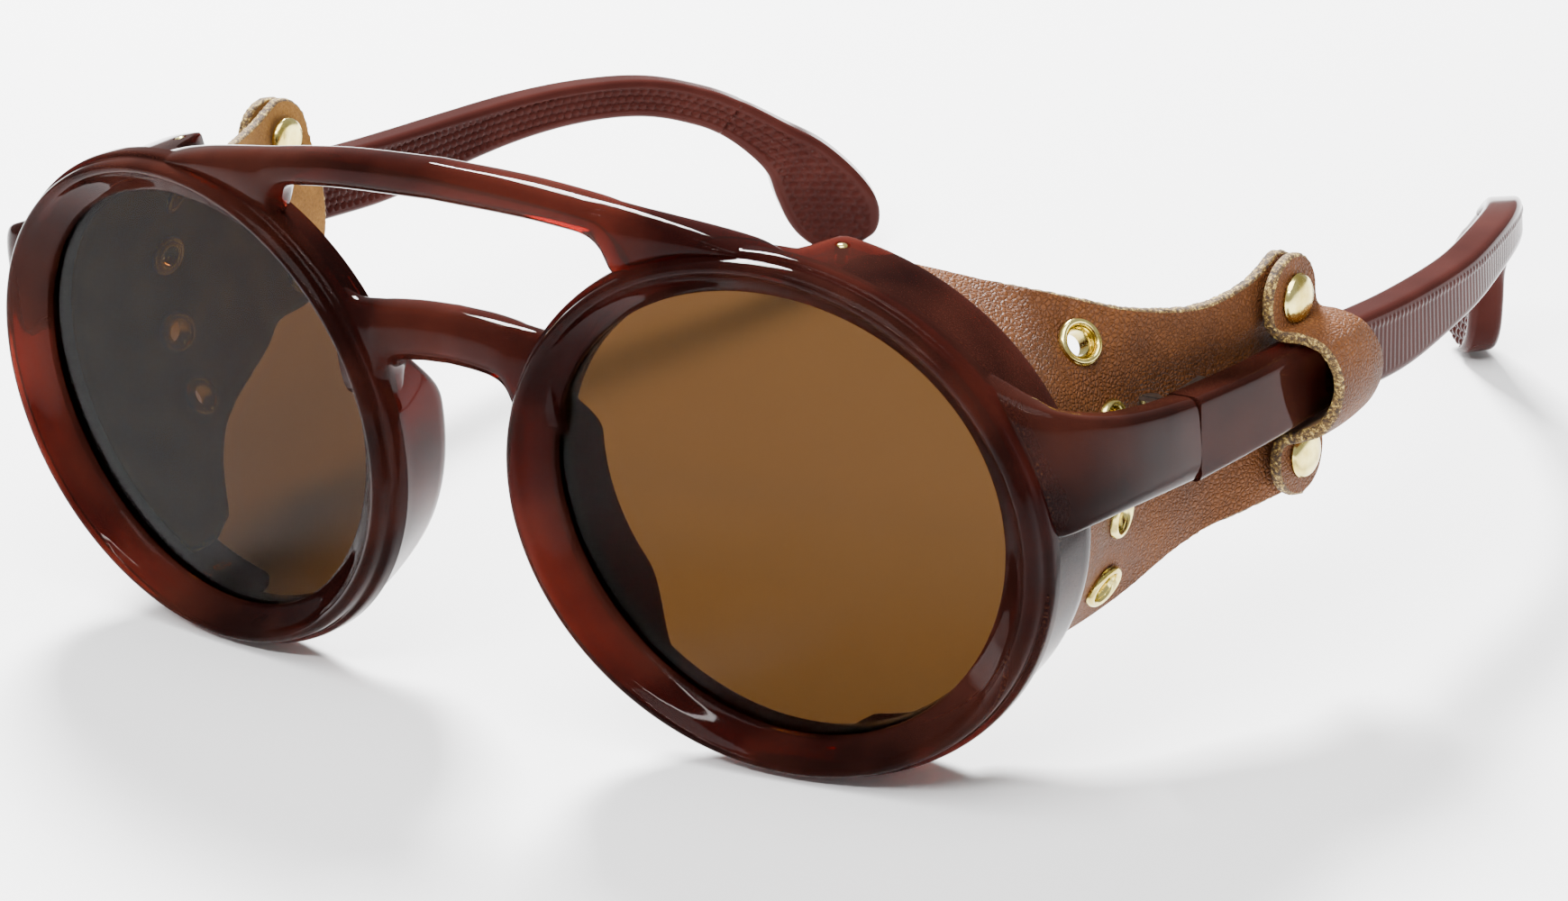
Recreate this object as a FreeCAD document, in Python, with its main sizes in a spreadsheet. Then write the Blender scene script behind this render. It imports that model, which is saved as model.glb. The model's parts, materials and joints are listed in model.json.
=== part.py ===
import FreeCAD, Part
import math
import os
from FreeCAD import Placement, Rotation, Vector

# Glacier glasses: a moulded front with two oval rims, two lenses, two hinged temples with drop tips,
# and leather side shields that loop round the temples.
# Frame: +X to the wearer's left, the front faces -Y, the temples run to +Y, +Z up.
# The glasses stand on their rims and ear tips at Z = 0.
# "Depth" below is the distance behind the lens centres, "level" the height above them.

SIZES = {
    # front
    "lens_centre_x": 40.3,
    "lens_centre_z": 29.5,
    "front_depth": 66.84,
    "wrap_angle": 6.0,
    "opening_half_width": 26.8,
    "opening_half_height": 25.0,
    "rim_half_width": 32.6,
    "rim_half_height": 29.5,
    "ring_half_width": 31.4,
    "ring_half_height": 28.5,
    "bevel_half_width": 29.2,
    "bevel_half_height": 26.9,
    "ring_front": 2.8,
    "band_front": 0.9,
    "rim_back": 4.2,
    "wall_back": 10.0,
    "wall_thickness": 2.0,
    "groove_depth": 1.0,
    "groove_start": 0.95,
    "lens_thickness": 1.6,
    "lens_gap": 0.05,
    "pad_length": 9.0,
    "pad_thickness": 3.2,
    "pad_lean": 30.0,
    "temporal_start": 2.0,
    # hinge
    "seam_depth": 27.0,
    "seam_gap": 0.2,
    "hinge_x": 69.8,
    "hinge_level": 4.0,
    "hinge_face_x": 71.3,
    "knuckle_radius": 1.4,
    "knuckle_height": 2.1,
    "knuckle_gap": 0.1,
    "leaf_thickness": 0.9,
    "leaf_reach": 7.0,
    "screw_radius": 0.7,
    "screw_clearance": 0.05,
    "screw_head_radius": 1.2,
    "screw_head_height": 0.7,
    # temples
    "temple_thickness": 4.4,
    "ear_tip_reach": 7.0,
    # leather
    "leather_thickness": 1.4,
    "leather_gap": 0.5,
    "tab_radius": 4.5,
    "rivet_depth": 50.0,
    "upper_rivet_level": 11.4,
    "lower_rivet_level": -6.4,
    "strap_x": 73.3,
    # brass
    "rivet_head_x": 70.2,
    "eyelet_depth": 20.3,
    "eyelet_barrel_radius": 1.75,
    "pin_depth": 7.4,
    "upper_pin_angle": 78.0,
    "lower_pin_angle": -56.0,
    "cap_radius": 2.6,
    "cap_height": 1.3,
    "post_radius": 1.0,
    "post_clearance": 0.25,
    "eyelet_hole_radius": 1.35,
    "eyelet_flange_radius": 2.6,
    "eyelet_flange_height": 0.6,
    "pin_radius": 0.6,
    "pin_length": 3.6,
}

doc = FreeCAD.newDocument("glacier_glasses")


SIDES = ((1, "left"), (-1, "right"))


def make_sheet():
    sheet = doc.addObject("Spreadsheet::Sheet", "sizes")
    for row, (alias, value) in enumerate(SIZES.items(), start=1):
        sheet.set("A%d" % row, alias)
        sheet.set("B%d" % row, str(value))
        sheet.setAlias("B%d" % row, alias)
    doc.recompute()
    return sheet


SHEET = make_sheet()


def size(alias):
    """A driving dimension as a number, in millimetres or degrees."""
    return float(SHEET.get(alias))


def place(x, depth, level):
    """A point of the part from its distance behind, and its height above, the lens centres."""
    return Vector(x, depth - size("front_depth"), level + size("lens_centre_z"))


def rim_placement(side, depth=0.0):
    """The rim's own frame: its Z axis points forwards, out of the lens."""
    turn = Rotation(Vector(0, 0, 1), side * size("wrap_angle"))
    back = turn.multVec(Vector(0, depth, 0))
    base = place(side * size("lens_centre_x"), 0, 0) + back
    return Placement(base, turn * Rotation(Vector(1, 0, 0), 90))


def rim_back_direction(side, lean=0.0):
    """Backwards out of the rim, leaning towards the temple by an angle in degrees."""
    turn = Rotation(Vector(0, 0, 1), side * size("wrap_angle"))
    return turn.multVec(Vector(side * math.tan(math.radians(lean)), 1, 0)).normalize()


def oval(name, side, half_width, half_height, depth):
    """An ellipse in the rim's frame, with its radii bound to the sheet."""
    curve = doc.addObject("Part::Ellipse", name)
    curve.setExpression("MajorRadius", half_width)
    curve.setExpression("MinorRadius", half_height)
    curve.Placement = rim_placement(side, depth)
    return curve


def oval_prism(name, side, half_width, half_height, depth, length, lean=0.0):
    """A prism on an oval, from depth backwards. length is an expression on the sheet."""
    prism = doc.addObject("Part::Extrusion", name)
    prism.Base = oval(name + "_outline", side, half_width, half_height, depth)
    prism.DirMode = "Custom"
    prism.Dir = rim_back_direction(side, lean)
    prism.setExpression("LengthFwd", length)
    prism.Solid = True
    return prism


def oval_cone(name, side, front, back):
    """A tapered oval between two (half_width, half_height, depth) sections."""
    cone = doc.addObject("Part::Loft", name)
    cone.Sections = [
        oval(name + "_front", side, front[0], front[1], front[2]),
        oval(name + "_back", side, back[0], back[1], back[2]),
    ]
    cone.Solid = True
    cone.Ruled = True
    return cone


FRONT_VIEW = Rotation(Vector(1, 0, 0), 90)
SIDE_VIEW = Rotation(Vector(1, 1, 1), 120)
TOP_VIEW = Rotation()


def smooth(points):
    curve = Part.BSplineCurve()
    curve.interpolate([Vector(a, b, 0) for a, b in points])
    return curve


def outline(name, rotation, base, curves):
    """A closed sketch. Each curve is a list of points: two make a line, more a smooth curve."""
    sketch = doc.addObject("Sketcher::SketchObject", name)
    sketch.Placement = Placement(base, rotation)
    for points in curves:
        if len(points) == 2:
            start, end = (Vector(a, b, 0) for a, b in points)
            sketch.addGeometry(Part.LineSegment(start, end), False)
        else:
            sketch.addGeometry(smooth(points), False)
    return sketch


def prism(name, sketch, direction, length):
    """A solid on a closed sketch. length is a number or an expression on the sheet."""
    solid = doc.addObject("Part::Extrusion", name)
    solid.Base = sketch
    solid.DirMode = "Custom"
    solid.Dir = direction
    if isinstance(length, str):
        solid.setExpression("LengthFwd", length)
    else:
        solid.LengthFwd = length
    solid.Solid = True
    return solid


def common(name, *tools):
    solid = doc.addObject("Part::MultiCommon", name)
    solid.Shapes = list(tools)
    return solid


def fuse(name, *tools):
    solid = doc.addObject("Part::MultiFuse", name)
    solid.Shapes = list(tools)
    return solid


def cut(name, base, tool):
    solid = doc.addObject("Part::Cut", name)
    solid.Base = base
    solid.Tool = tool
    return solid


def box(name, low, high):
    solid = doc.addObject("Part::Box", name)
    solid.Length, solid.Width, solid.Height = high - low
    solid.Placement = Placement(low, Rotation())
    return solid


def side_box(name, side, low, high):
    """A box given on the wearer's left, mirrored for the right."""
    near, far = sorted((side * low[0], side * high[0]))
    return box(name, place(near, low[1], low[2]), place(far, high[1], high[2]))


def crossed(name, side, front_view=None, side_view=None, top_view=None):
    """The solid that has the given outlines in two views, on the wearer's left or mirrored."""
    reach = 400.0
    mirrored = lambda curves: [[(side * a, b) for a, b in points] for points in curves]
    prisms = []
    if front_view:
        sketch = outline(name + "_front_view", FRONT_VIEW, place(0, reach / 2, 0), mirrored(front_view))
        prisms.append(prism(name + "_from_front", sketch, Vector(0, -1, 0), reach))
    if side_view:
        sketch = outline(name + "_side_view", SIDE_VIEW, place(-reach / 2, 0, 0), side_view)
        prisms.append(prism(name + "_from_side", sketch, Vector(1, 0, 0), reach))
    if top_view:
        sketch = outline(name + "_top_view", TOP_VIEW, place(0, 0, -reach / 2), mirrored(top_view))
        prisms.append(prism(name + "_from_top", sketch, Vector(0, 0, 1), reach))
    return common(name, *prisms)


# ---------------------------------------------------------------- front

def rim_solids(side, tag):
    """One rim: front ring, wall, temporal rear wall and nose pad, all before the opening is cut."""
    wall = oval_prism(
        "rim_wall_" + tag, side, "sizes.rim_half_width", "sizes.rim_half_height",
        -size("band_front"), "sizes.band_front + sizes.rim_back",
    )
    ring = oval_cone(
        "rim_ring_" + tag, side,
        ("sizes.ring_half_width - 0.8", "sizes.ring_half_height - 0.7", -size("ring_front")),
        ("sizes.ring_half_width", "sizes.ring_half_height", -size("band_front")),
    )
    deep = oval_prism(
        "temporal_outer_" + tag, side, "sizes.rim_half_width", "sizes.rim_half_height",
        0.0, "sizes.wall_back",
    )
    return [wall, ring, common("temporal_wall_" + tag, deep, temporal_half(side, tag)), nose_pad(side, tag)]


def temporal_half(side, tag):
    """The temple side of a rim, where the rear wall is deep and the leather tucks in."""
    start = size("lens_centre_x") + size("temporal_start")
    return side_box("temporal_half_" + tag, side, (start, -10, -40), (90, 30, 40))


def nose_pad(side, tag):
    """A flange on the nasal side of the rim that runs back and leans away from the nose."""
    lean = size("pad_lean")
    outer = oval_prism(
        "pad_outer_" + tag, side, "sizes.rim_half_width - 0.2", "sizes.rim_half_height - 0.2",
        size("rim_back") - 1, "sizes.pad_length", lean,
    )
    inner = oval_prism(
        "pad_inner_" + tag, side,
        "sizes.rim_half_width - sizes.pad_thickness", "sizes.rim_half_height - sizes.pad_thickness",
        size("rim_back") - 2, "2 * sizes.pad_length", lean,
    )
    shell = cut("pad_shell_" + tag, outer, inner)
    nasal = side_box("pad_nasal_" + tag, side, (2, -5, -19), (24, 20, 9))
    return common("nose_pad_" + tag, shell, nasal)


def rim_cutters(side, tag):
    """What is taken out of a rim: opening, front bevel, lens groove, pocket for the leather, pin holes."""
    opening = oval_prism(
        "opening_" + tag, side, "sizes.opening_half_width", "sizes.opening_half_height",
        -6, "6 + sizes.rim_back",
    )
    bevel = oval_cone(
        "bevel_" + tag, side,
        ("sizes.bevel_half_width", "sizes.bevel_half_height", -size("ring_front") - 0.01),
        ("sizes.opening_half_width", "sizes.opening_half_height", 0.0),
    )
    groove = oval_prism(
        "groove_" + tag, side,
        "sizes.opening_half_width + sizes.groove_depth", "sizes.opening_half_height + sizes.groove_depth",
        size("groove_start"), "sizes.lens_thickness + 2 * sizes.lens_gap",
    )
    pocket = oval_prism(
        "pocket_oval_" + tag, side,
        "sizes.rim_half_width - sizes.wall_thickness", "sizes.rim_half_height - sizes.wall_thickness",
        size("rim_back"), "sizes.wall_back",
    )
    pocket_half = common("pocket_" + tag, pocket, temporal_half(side, "pocket_" + tag))
    pin_holes = [
        cylinder("pin_hole_%s_%d" % (tag, number), outside - inward, inward, "sizes.pin_radius", 4.2)
        for number, (outside, inward) in enumerate(pin_axes(side))
    ]
    return [opening, bevel, groove, pocket_half] + pin_holes


def brow_bar():
    front_view = [
        [(-43, 27.8), (-33, 31.0), (-20, 33.1), (0, 34.1), (20, 33.1), (33, 31.0), (43, 27.8)],
        [(43, 27.8), (43, 24.6)],
        [(43, 24.6), (33, 26.2), (24, 28.4), (0, 29.7), (-24, 28.4), (-33, 26.2), (-43, 24.6)],
        [(-43, 24.6), (-43, 27.8)],
    ]
    top_view = [
        [(-44, -0.2), (-25, -2.3), (0, -3.9), (25, -2.3), (44, -0.2)],
        [(44, -0.2), (44, 3.6)],
        [(44, 3.6), (25, 1.7), (0, 0.6), (-25, 1.7), (-44, 3.6)],
        [(-44, 3.6), (-44, -0.2)],
    ]
    return crossed("brow_bar", 1, front_view=front_view, top_view=top_view)


def nose_bridge():
    front_view = [
        [(-17, 14.5), (-11, 16.9), (0, 17.5), (11, 16.9), (17, 14.5)],
        [(17, 14.5), (17, 7.0)],
        [(17, 7.0), (9, 10.3), (0, 11.2), (-9, 10.3), (-17, 7.0)],
        [(-17, 7.0), (-17, 14.5)],
    ]
    top_view = [
        [(-18, -2.6), (0, -3.7), (18, -2.6)],
        [(18, -2.6), (18, 2.0)],
        [(18, 2.0), (0, 1.5), (-18, 2.0)],
        [(-18, 2.0), (-18, -2.6)],
    ]
    return crossed("nose_bridge", 1, front_view=front_view, top_view=top_view)


def end_piece(side, tag):
    """The arm that sweeps back from the rim to the seam with the temple."""
    end = size("seam_depth") - size("seam_gap") / 2
    inner = size("hinge_face_x")
    side_view = [
        [(-0.5, 15.5), (5, 14.8), (13.6, 12.3), (20, 10.2), (end, 8.6)],
        [(end, 8.6), (end, -0.6)],
        [(end, -0.6), (20, 0.2), (12.6, 1.6), (5, 1.4), (-0.5, 1.0)],
        [(-0.5, 1.0), (-0.5, 15.5)],
    ]
    top_view = [
        [(66, 0), (70.5, 0.6), (73.8, 4.0), (75.6, 11), (75.9, 19), (75.7, end)],
        [(75.7, end), (inner, end)],
        [(inner, end), (inner, 14)],
        [(inner, 14), (70.6, 8), (66, 4)],
        [(66, 4), (66, 0)],
    ]
    return crossed("end_piece_" + tag, side, side_view=side_view, top_view=top_view)


def oval_normals(side, depth, half_width, half_height, angles):
    """Points on a rim oval, each with the direction that points out of it."""
    frame = rim_placement(side, depth)
    normals = []
    for angle in angles:
        across = side * math.cos(math.radians(angle))
        up = math.sin(math.radians(angle))
        point = frame.multVec(Vector(half_width * across, half_height * up, 0))
        outward = Vector(across / half_width, up / half_height, 0).normalize()
        normals.append((point, frame.Rotation.multVec(outward)))
    return normals


def pin_axes(side):
    """Where the shield pins enter the temporal wall, each with the direction inwards."""
    angles = (size("upper_pin_angle"), size("lower_pin_angle"))
    on_wall = oval_normals(side, size("pin_depth"), size("rim_half_width"), size("rim_half_height"), angles)
    return [(point, outward * -1) for point, outward in on_wall]


def cylinder(name, base, direction, radius, height):
    """A cylinder whose radius, and height if it is text, are expressions on the sheet."""
    solid = doc.addObject("Part::Cylinder", name)
    solid.setExpression("Radius", radius)
    if isinstance(height, str):
        solid.setExpression("Height", height)
    else:
        solid.Height = height
    solid.Placement = Placement(base, Rotation(Vector(0, 0, 1), direction))
    return solid


def front_frame():
    added = [brow_bar(), nose_bridge()]
    removed = []
    for side, tag in SIDES:
        added += rim_solids(side, tag)
        added.append(end_piece(side, tag))
        removed += rim_cutters(side, tag)
    solid = fuse("front_solids", *added)
    return cut("front_frame", solid, fuse("front_openings", *removed))


def lens(side, tag):
    return oval_prism(
        "lens_" + tag, side,
        "sizes.opening_half_width + sizes.groove_depth - sizes.lens_gap",
        "sizes.opening_half_height + sizes.groove_depth - sizes.lens_gap",
        size("groove_start") + size("lens_gap"), "sizes.lens_thickness",
    )


# ---------------------------------------------------------------- temples

# Stations along the temple's side view: depth, level of the middle and half the width.
TEMPLE_STATIONS = [
    (27.1, 4.0, 4.6), (40, 2.9, 4.35), (55, 2.1, 4.2), (70, 0.4, 4.1), (85, -0.1, 3.3), (98, -0.4, 2.8),
    (108, -1.3, 2.6), (116, -2.9, 2.55), (122.7, -5.9, 2.5), (126.4, -8.6, 2.5), (129.7, -12.05, 2.8),
    (132.25, -15.4, 3.5), (133.9, -19.2, 4.3), (135.3, -22.8, 4.6),
]

# The temple's outer face in plan: x, depth.
TEMPLE_PLAN = [
    (75.7, 27.1), (76.2, 45), (76.3, 60), (76.0, 75), (75.0, 88), (73.0, 98), (70.0, 108), (66.4, 116),
    (61.4, 124), (55.4, 131), (49.0, 137.5), (44.0, 142),
]


def shifted(points, distances):
    """A line of points moved to the left of its own direction by each point's distance."""
    moved = []
    for index, (a, b) in enumerate(points):
        before = points[max(index - 1, 0)]
        after = points[min(index + 1, len(points) - 1)]
        along = Vector(after[0] - before[0], after[1] - before[1], 0).normalize()
        moved.append((a - along.y * distances[index], b + along.x * distances[index]))
    return moved


def tip_cap(start, end, reach, steps=6):
    """A half oval that closes the ear tip, from its upper edge to its lower edge."""
    middle = Vector(start[0] + end[0], start[1] + end[1], 0) * 0.5
    radius = Vector(start[0], start[1], 0) - middle
    out = Vector(radius.y, -radius.x, 0).normalize() * reach
    cap = []
    for step in range(steps + 1):
        angle = math.pi * step / steps
        point = middle + radius * math.cos(angle) + out * math.sin(angle)
        cap.append((point.x, point.y))
    return cap


def temple(side, tag):
    middle = [(depth, level) for depth, level, _ in TEMPLE_STATIONS]
    upper = shifted(middle, [half for _, _, half in TEMPLE_STATIONS])
    lower = shifted(middle, [-half for _, _, half in TEMPLE_STATIONS])
    cap = tip_cap(upper[-1], lower[-1], size("ear_tip_reach"))
    side_view = [upper, cap, list(reversed(lower)), [lower[0], upper[0]]]
    inner = shifted(TEMPLE_PLAN, [size("temple_thickness")] * len(TEMPLE_PLAN))
    top_view = [
        TEMPLE_PLAN,
        [TEMPLE_PLAN[-1], inner[-1]],
        list(reversed(inner)),
        [inner[0], TEMPLE_PLAN[0]],
    ]
    return crossed("temple_" + tag, side, side_view=side_view, top_view=top_view)


# ---------------------------------------------------------------- hinges

UP = Vector(0, 0, 1)


def hinge_cylinder(name, side, low, radius, height):
    """An upright cylinder on the hinge axis, from low above the lens centres."""
    base = place(side * size("hinge_x"), size("seam_depth"), low)
    return cylinder(name, base, UP, radius, height)


def hinge_leaf(name, side, facing, barrel_lows):
    """A plate flat on the plastic, with its barrels. facing is -1 for the front and 1 for the temple."""
    half = 1.5 * size("knuckle_height") + size("knuckle_gap")
    middle = size("hinge_level")
    face = size("hinge_face_x")
    seam = size("seam_depth")
    thin = face - size("leaf_thickness")
    near = seam + facing * (size("knuckle_radius") + 0.3)
    far = seam + facing * (size("knuckle_radius") + 0.3 + size("leaf_reach"))
    front, back = sorted((near, far))
    solids = [side_box(name + "_plate", side, (thin, front, middle - half), (face, back, middle + half))]
    bores = []
    for number, low in enumerate(barrel_lows):
        front, back = sorted((seam, near))
        high = low + size("knuckle_height")
        barrel = "%s_barrel_%d" % (name, number)
        solids.append(hinge_cylinder(barrel, side, low, "sizes.knuckle_radius", "sizes.knuckle_height"))
        solids.append(side_box(barrel + "_web", side, (thin, front, low), (face - 0.1, back, high)))
        bores.append(
            hinge_cylinder(barrel + "_bore", side, low - 1, "sizes.screw_radius + sizes.screw_clearance",
                           "sizes.knuckle_height + 2")
        )
    bore = fuse(name + "_bores", *bores) if len(bores) > 1 else bores[0]
    return cut(name, fuse(name + "_solids", *solids), bore)


def hinge_front_leaf(side, tag):
    middle = size("hinge_level")
    step = size("knuckle_height") + size("knuckle_gap")
    lows = [middle - step - size("knuckle_height") / 2, middle + step - size("knuckle_height") / 2]
    return hinge_leaf("hinge_front_leaf_" + tag, side, -1, lows)


def hinge_temple_leaf(side, tag):
    lows = [size("hinge_level") - size("knuckle_height") / 2]
    return hinge_leaf("hinge_temple_leaf_" + tag, side, 1, lows)


def hinge_screw(side, tag):
    half = 1.5 * size("knuckle_height") + size("knuckle_gap")
    low = size("hinge_level") - half
    top = size("hinge_level") + half
    shank = hinge_cylinder("screw_shank_" + tag, side, low, "sizes.screw_radius",
                           "3 * sizes.knuckle_height + 2 * sizes.knuckle_gap + 0.1")
    head = hinge_cylinder("screw_head_" + tag, side, top, "sizes.screw_head_radius",
                          "sizes.screw_head_height")
    slot_bottom = top + size("screw_head_height") - 0.3
    centre = size("hinge_x")
    slot = side_box(
        "screw_slot_" + tag, side,
        (centre - 2, size("seam_depth") - 0.15, slot_bottom),
        (centre + 2, size("seam_depth") + 0.15, slot_bottom + 1),
    )
    return cut("hinge_screw_" + tag, fuse("screw_solids_" + tag, shank, head), slot)


# ---------------------------------------------------------------- leather

# The leather's outer surface behind the rim: at each depth, x and level from top to bottom.
SHIELD_SECTIONS = {
    29: [(66.0, 20), (66.6, 16), (67.0, 12), (67.3, 8), (67.4, 4), (67.2, -1), (66.8, -6), (66.0, -11.5),
         (64.4, -18)],
    38: [(70.0, 18), (69.8, 14), (69.6, 10), (69.35, 7), (69.3, 3.5), (69.2, -1), (69.0, -5), (68.4, -9.5),
         (67.2, -15)],
    44: [(71.4, 19), (71.4, 15), (71.2, 10), (70.4, 7), (70.1, 3.0), (70.3, -1), (70.9, -4.5),
         (71.1, -8), (71.0, -13)],
    49: [(72.0, 19), (72.0, 15), (71.9, 9.9), (71.0, 7.1), (70.6, 2.8), (71.0, -1.6), (71.8, -4.4),
         (72.0, -7.5), (72.0, -13)],
    57: [(72.0, 19), (72.0, 15), (71.9, 9.9), (71.0, 7.1), (70.6, 2.8), (71.0, -1.6), (71.8, -4.4),
         (72.0, -7.5), (72.0, -13)],
}
RIVET_LEVELS = (size("upper_rivet_level"), size("lower_rivet_level"))
TUBE_DEPTHS = (4.8, 10, 16, 22)
TUBE_ANGLES = (85, 63, 42, 21.5, 2, -17.5, -37, -56.5, -76)


def tube_point(angle, depth):
    """A point, as (x, level), of the oval tube that the leather follows inside and behind the rim."""
    lean = math.radians(size("wrap_angle"))
    clear = size("wall_thickness") + size("leather_gap")
    across = (size("rim_half_width") - clear) * math.cos(math.radians(angle))
    up = (size("rim_half_height") - clear) * math.sin(math.radians(angle))
    along = (depth - across * math.sin(lean)) / math.cos(lean)
    return size("lens_centre_x") + across * math.cos(lean) - along * math.sin(lean), up


def shield_section(name, side, depth, outer):
    """A closed strip across the leather at one depth."""
    outer = [(side * x, level) for x, level in outer]
    inner = shifted(outer, [-side * size("leather_thickness")] * len(outer))
    curves = [outer, [outer[-1], inner[-1]], list(reversed(inner)), [inner[0], outer[0]]]
    return outline(name, FRONT_VIEW, place(0, depth, 0), curves)


def quarter_arc(centre, radius, start_angle, end_angle):
    """An arc in the side view, as three points for a smooth curve."""
    points = []
    for angle in (start_angle, (start_angle + end_angle) / 2, end_angle):
        turn = math.radians(angle)
        points.append((centre[0] + radius * math.cos(turn), centre[1] + radius * math.sin(turn)))
    return points


def shield_outline():
    """The leather's edges in side view: it narrows to the temple and ends round the two rivets."""
    radius = size("tab_radius")
    upper = (size("rivet_depth"), size("upper_rivet_level"))
    lower = (size("rivet_depth"), size("lower_rivet_level"))
    top_corner = quarter_arc(upper, radius, 90, 0)
    bottom_corner = quarter_arc(lower, radius, 0, -90)
    top = [
        (6.0, 26.85), (8.9, 26.85), (10.6, 26.0), (13.2, 24.6), (22, 20.1), (29.1, 16.3), (38, 13.8),
        (45, 14.3),
    ]
    bottom = [(43, -10.9), (35.4, -12.8), (22, -18), (14, -23), (10, -24.2), (6.5, -24.4)]
    front = [(7.3, -19), (8.2, -9), (8.4, 0), (8.2, 10), (7.3, 20)]
    return [
        top + [top_corner[0]],
        top_corner,
        [top_corner[-1], bottom_corner[0]],
        bottom_corner,
        [bottom_corner[-1]] + bottom,
        [bottom[-1]] + front + [top[0]],
    ]


EYELET_ANGLES = (33, 13, -9, -28)


def eyelet_axes(side):
    """The eyelets' middles on the leather's outer surface, each with the direction outwards."""
    clear = size("wall_thickness") + size("leather_gap")
    half_width = size("rim_half_width") - clear
    half_height = size("rim_half_height") - clear
    return oval_normals(side, size("eyelet_depth"), half_width, half_height, EYELET_ANGLES)


def side_shield(side, tag):
    name = "shield_" + tag
    sections = []
    for depth in TUBE_DEPTHS:
        points = [tube_point(angle, depth) for angle in TUBE_ANGLES]
        sections.append(shield_section("%s_tube_%d" % (name, depth), side, depth, points))
    for depth, points in SHIELD_SECTIONS.items():
        sections.append(shield_section("%s_at_%d" % (name, depth), side, depth, points))
    loft = doc.addObject("Part::Loft", name + "_loft")
    loft.Sections = sections
    loft.Solid = True
    trimmed = common(name + "_trimmed", loft, crossed_prism(name + "_edges", shield_outline()))
    holes = [
        cylinder("%s_eyelet_hole_%d" % (name, number), point - outward * 4, outward,
                 "sizes.eyelet_barrel_radius + 0.1", 8)
        for number, (point, outward) in enumerate(eyelet_axes(side))
    ]
    holes += [
        rivet_cylinder("%s_rivet_hole_%d" % (name, number), side, level, 60,
                       "sizes.post_radius + sizes.post_clearance", 20)
        for number, level in enumerate(RIVET_LEVELS)
    ]
    holes += [
        cylinder("%s_pin_hole_%d" % (name, number), outside, inward, "sizes.pin_radius + 0.05", 8)
        for number, (outside, inward) in enumerate(pin_axes(side))
    ]
    return cut("side_shield_" + tag, trimmed, fuse(name + "_holes", *holes))


def crossed_prism(name, curves):
    """A side-view outline pushed right through the glasses."""
    reach = 400.0
    sketch = outline(name, SIDE_VIEW, place(-reach / 2, 0, 0), curves)
    return prism(name + "_prism", sketch, Vector(1, 0, 0), reach)


def strap_loop(side, tag):
    """The strap that goes from the upper tab, round the outside of the temple, to the lower tab."""
    middle = size("strap_x")
    top = size("upper_rivet_level") + size("tab_radius")
    bottom = size("lower_rivet_level") - size("tab_radius")
    path = [
        (middle, top), (middle, 12.4), (middle, 9.3), (middle + 0.8, 8.3), (middle + 2.8, 8.0),
        (middle + 5.0, 6.9), (middle + 6.1, 4.6), (middle + 6.3, 2.2), (middle + 5.6, -0.4),
        (middle + 4.1, -2.5), (middle + 2.0, -3.3), (middle + 0.5, -3.7), (middle, -4.7), (middle, -7),
        (middle, bottom),
    ]
    half = [size("leather_thickness") / 2] * len(path)
    outer = shifted(path, half)
    inner = shifted(path, [-value for value in half])
    front_view = [outer, [outer[-1], inner[-1]], list(reversed(inner)), [inner[0], outer[0]]]
    radius = size("tab_radius")
    upper = (size("rivet_depth"), size("upper_rivet_level"))
    lower = (size("rivet_depth"), size("lower_rivet_level"))
    over = quarter_arc(upper, radius, 180, 0)
    under = quarter_arc(lower, radius, 0, -180)
    side_view = [
        over,
        [over[-1], (55.3, 8.0), (57.2, 3.2), (56.2, -1.2), under[0]],
        under,
        [under[-1], (47.6, -2.5), (48.6, 2.5), (47.3, 8.0), over[0]],
    ]
    band = crossed("strap_band_" + tag, side, front_view=front_view, side_view=side_view)
    holes = [
        rivet_cylinder("strap_hole_%s_%d" % (tag, number), side, level, 60, "sizes.post_radius + 0.05", 20)
        for number, level in enumerate(RIVET_LEVELS)
    ]
    return cut("strap_loop_" + tag, band, fuse("strap_holes_" + tag, *holes))


# ---------------------------------------------------------------- brass

# How far a post goes into its cap.
POST_GRIP = 0.6


def rivet_cylinder(name, side, level, start_x, radius, height):
    """A cylinder along X, outwards from start_x, on a rivet's axis."""
    base = place(side * start_x, size("rivet_depth"), level)
    return cylinder(name, base, Vector(side, 0, 0), radius, height)


def compound(name, solids):
    group = doc.addObject("Part::Compound", name)
    group.Links = solids
    return group


def rivet_caps(side, tag):
    """Two domed caps on the outside of the strap, each hollow for its post."""
    radius, height = size("cap_radius"), size("cap_height")
    dome_radius = (radius ** 2 + height ** 2) / (2 * height)
    base = size("strap_x") + size("leather_thickness") / 2
    caps = []
    for number, level in enumerate(RIVET_LEVELS):
        name = "rivet_cap_%s_%d" % (tag, number)
        disc = rivet_cylinder(name + "_disc", side, level, base, "sizes.cap_radius", "sizes.cap_height + 1")
        ball = doc.addObject("Part::Sphere", name + "_ball")
        ball.Radius = dome_radius
        ball.Placement.Base = place(side * (base + height - dome_radius), size("rivet_depth"), level)
        dome = common(name + "_dome", disc, ball)
        hollow = rivet_cylinder(name + "_hollow", side, level, base - 1, "sizes.post_radius", 1 + POST_GRIP)
        caps.append(cut(name, dome, hollow))
    return compound("rivet_caps_" + tag, caps)


def rivet_posts(side, tag):
    """Two posts with flat heads on the inside of the leather."""
    outer = size("strap_x") + size("leather_thickness") / 2 + POST_GRIP
    inner = size("rivet_head_x")
    posts = []
    for number, level in enumerate(RIVET_LEVELS):
        name = "rivet_post_%s_%d" % (tag, number)
        head = rivet_cylinder(name + "_head", side, level, inner - 0.8, "sizes.cap_radius", 0.8)
        shank = rivet_cylinder(name + "_shank", side, level, inner - 0.4, "sizes.post_radius",
                               outer - inner + 0.4)
        posts.append(fuse(name, head, shank))
    return compound("rivet_posts_" + tag, posts)


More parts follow.
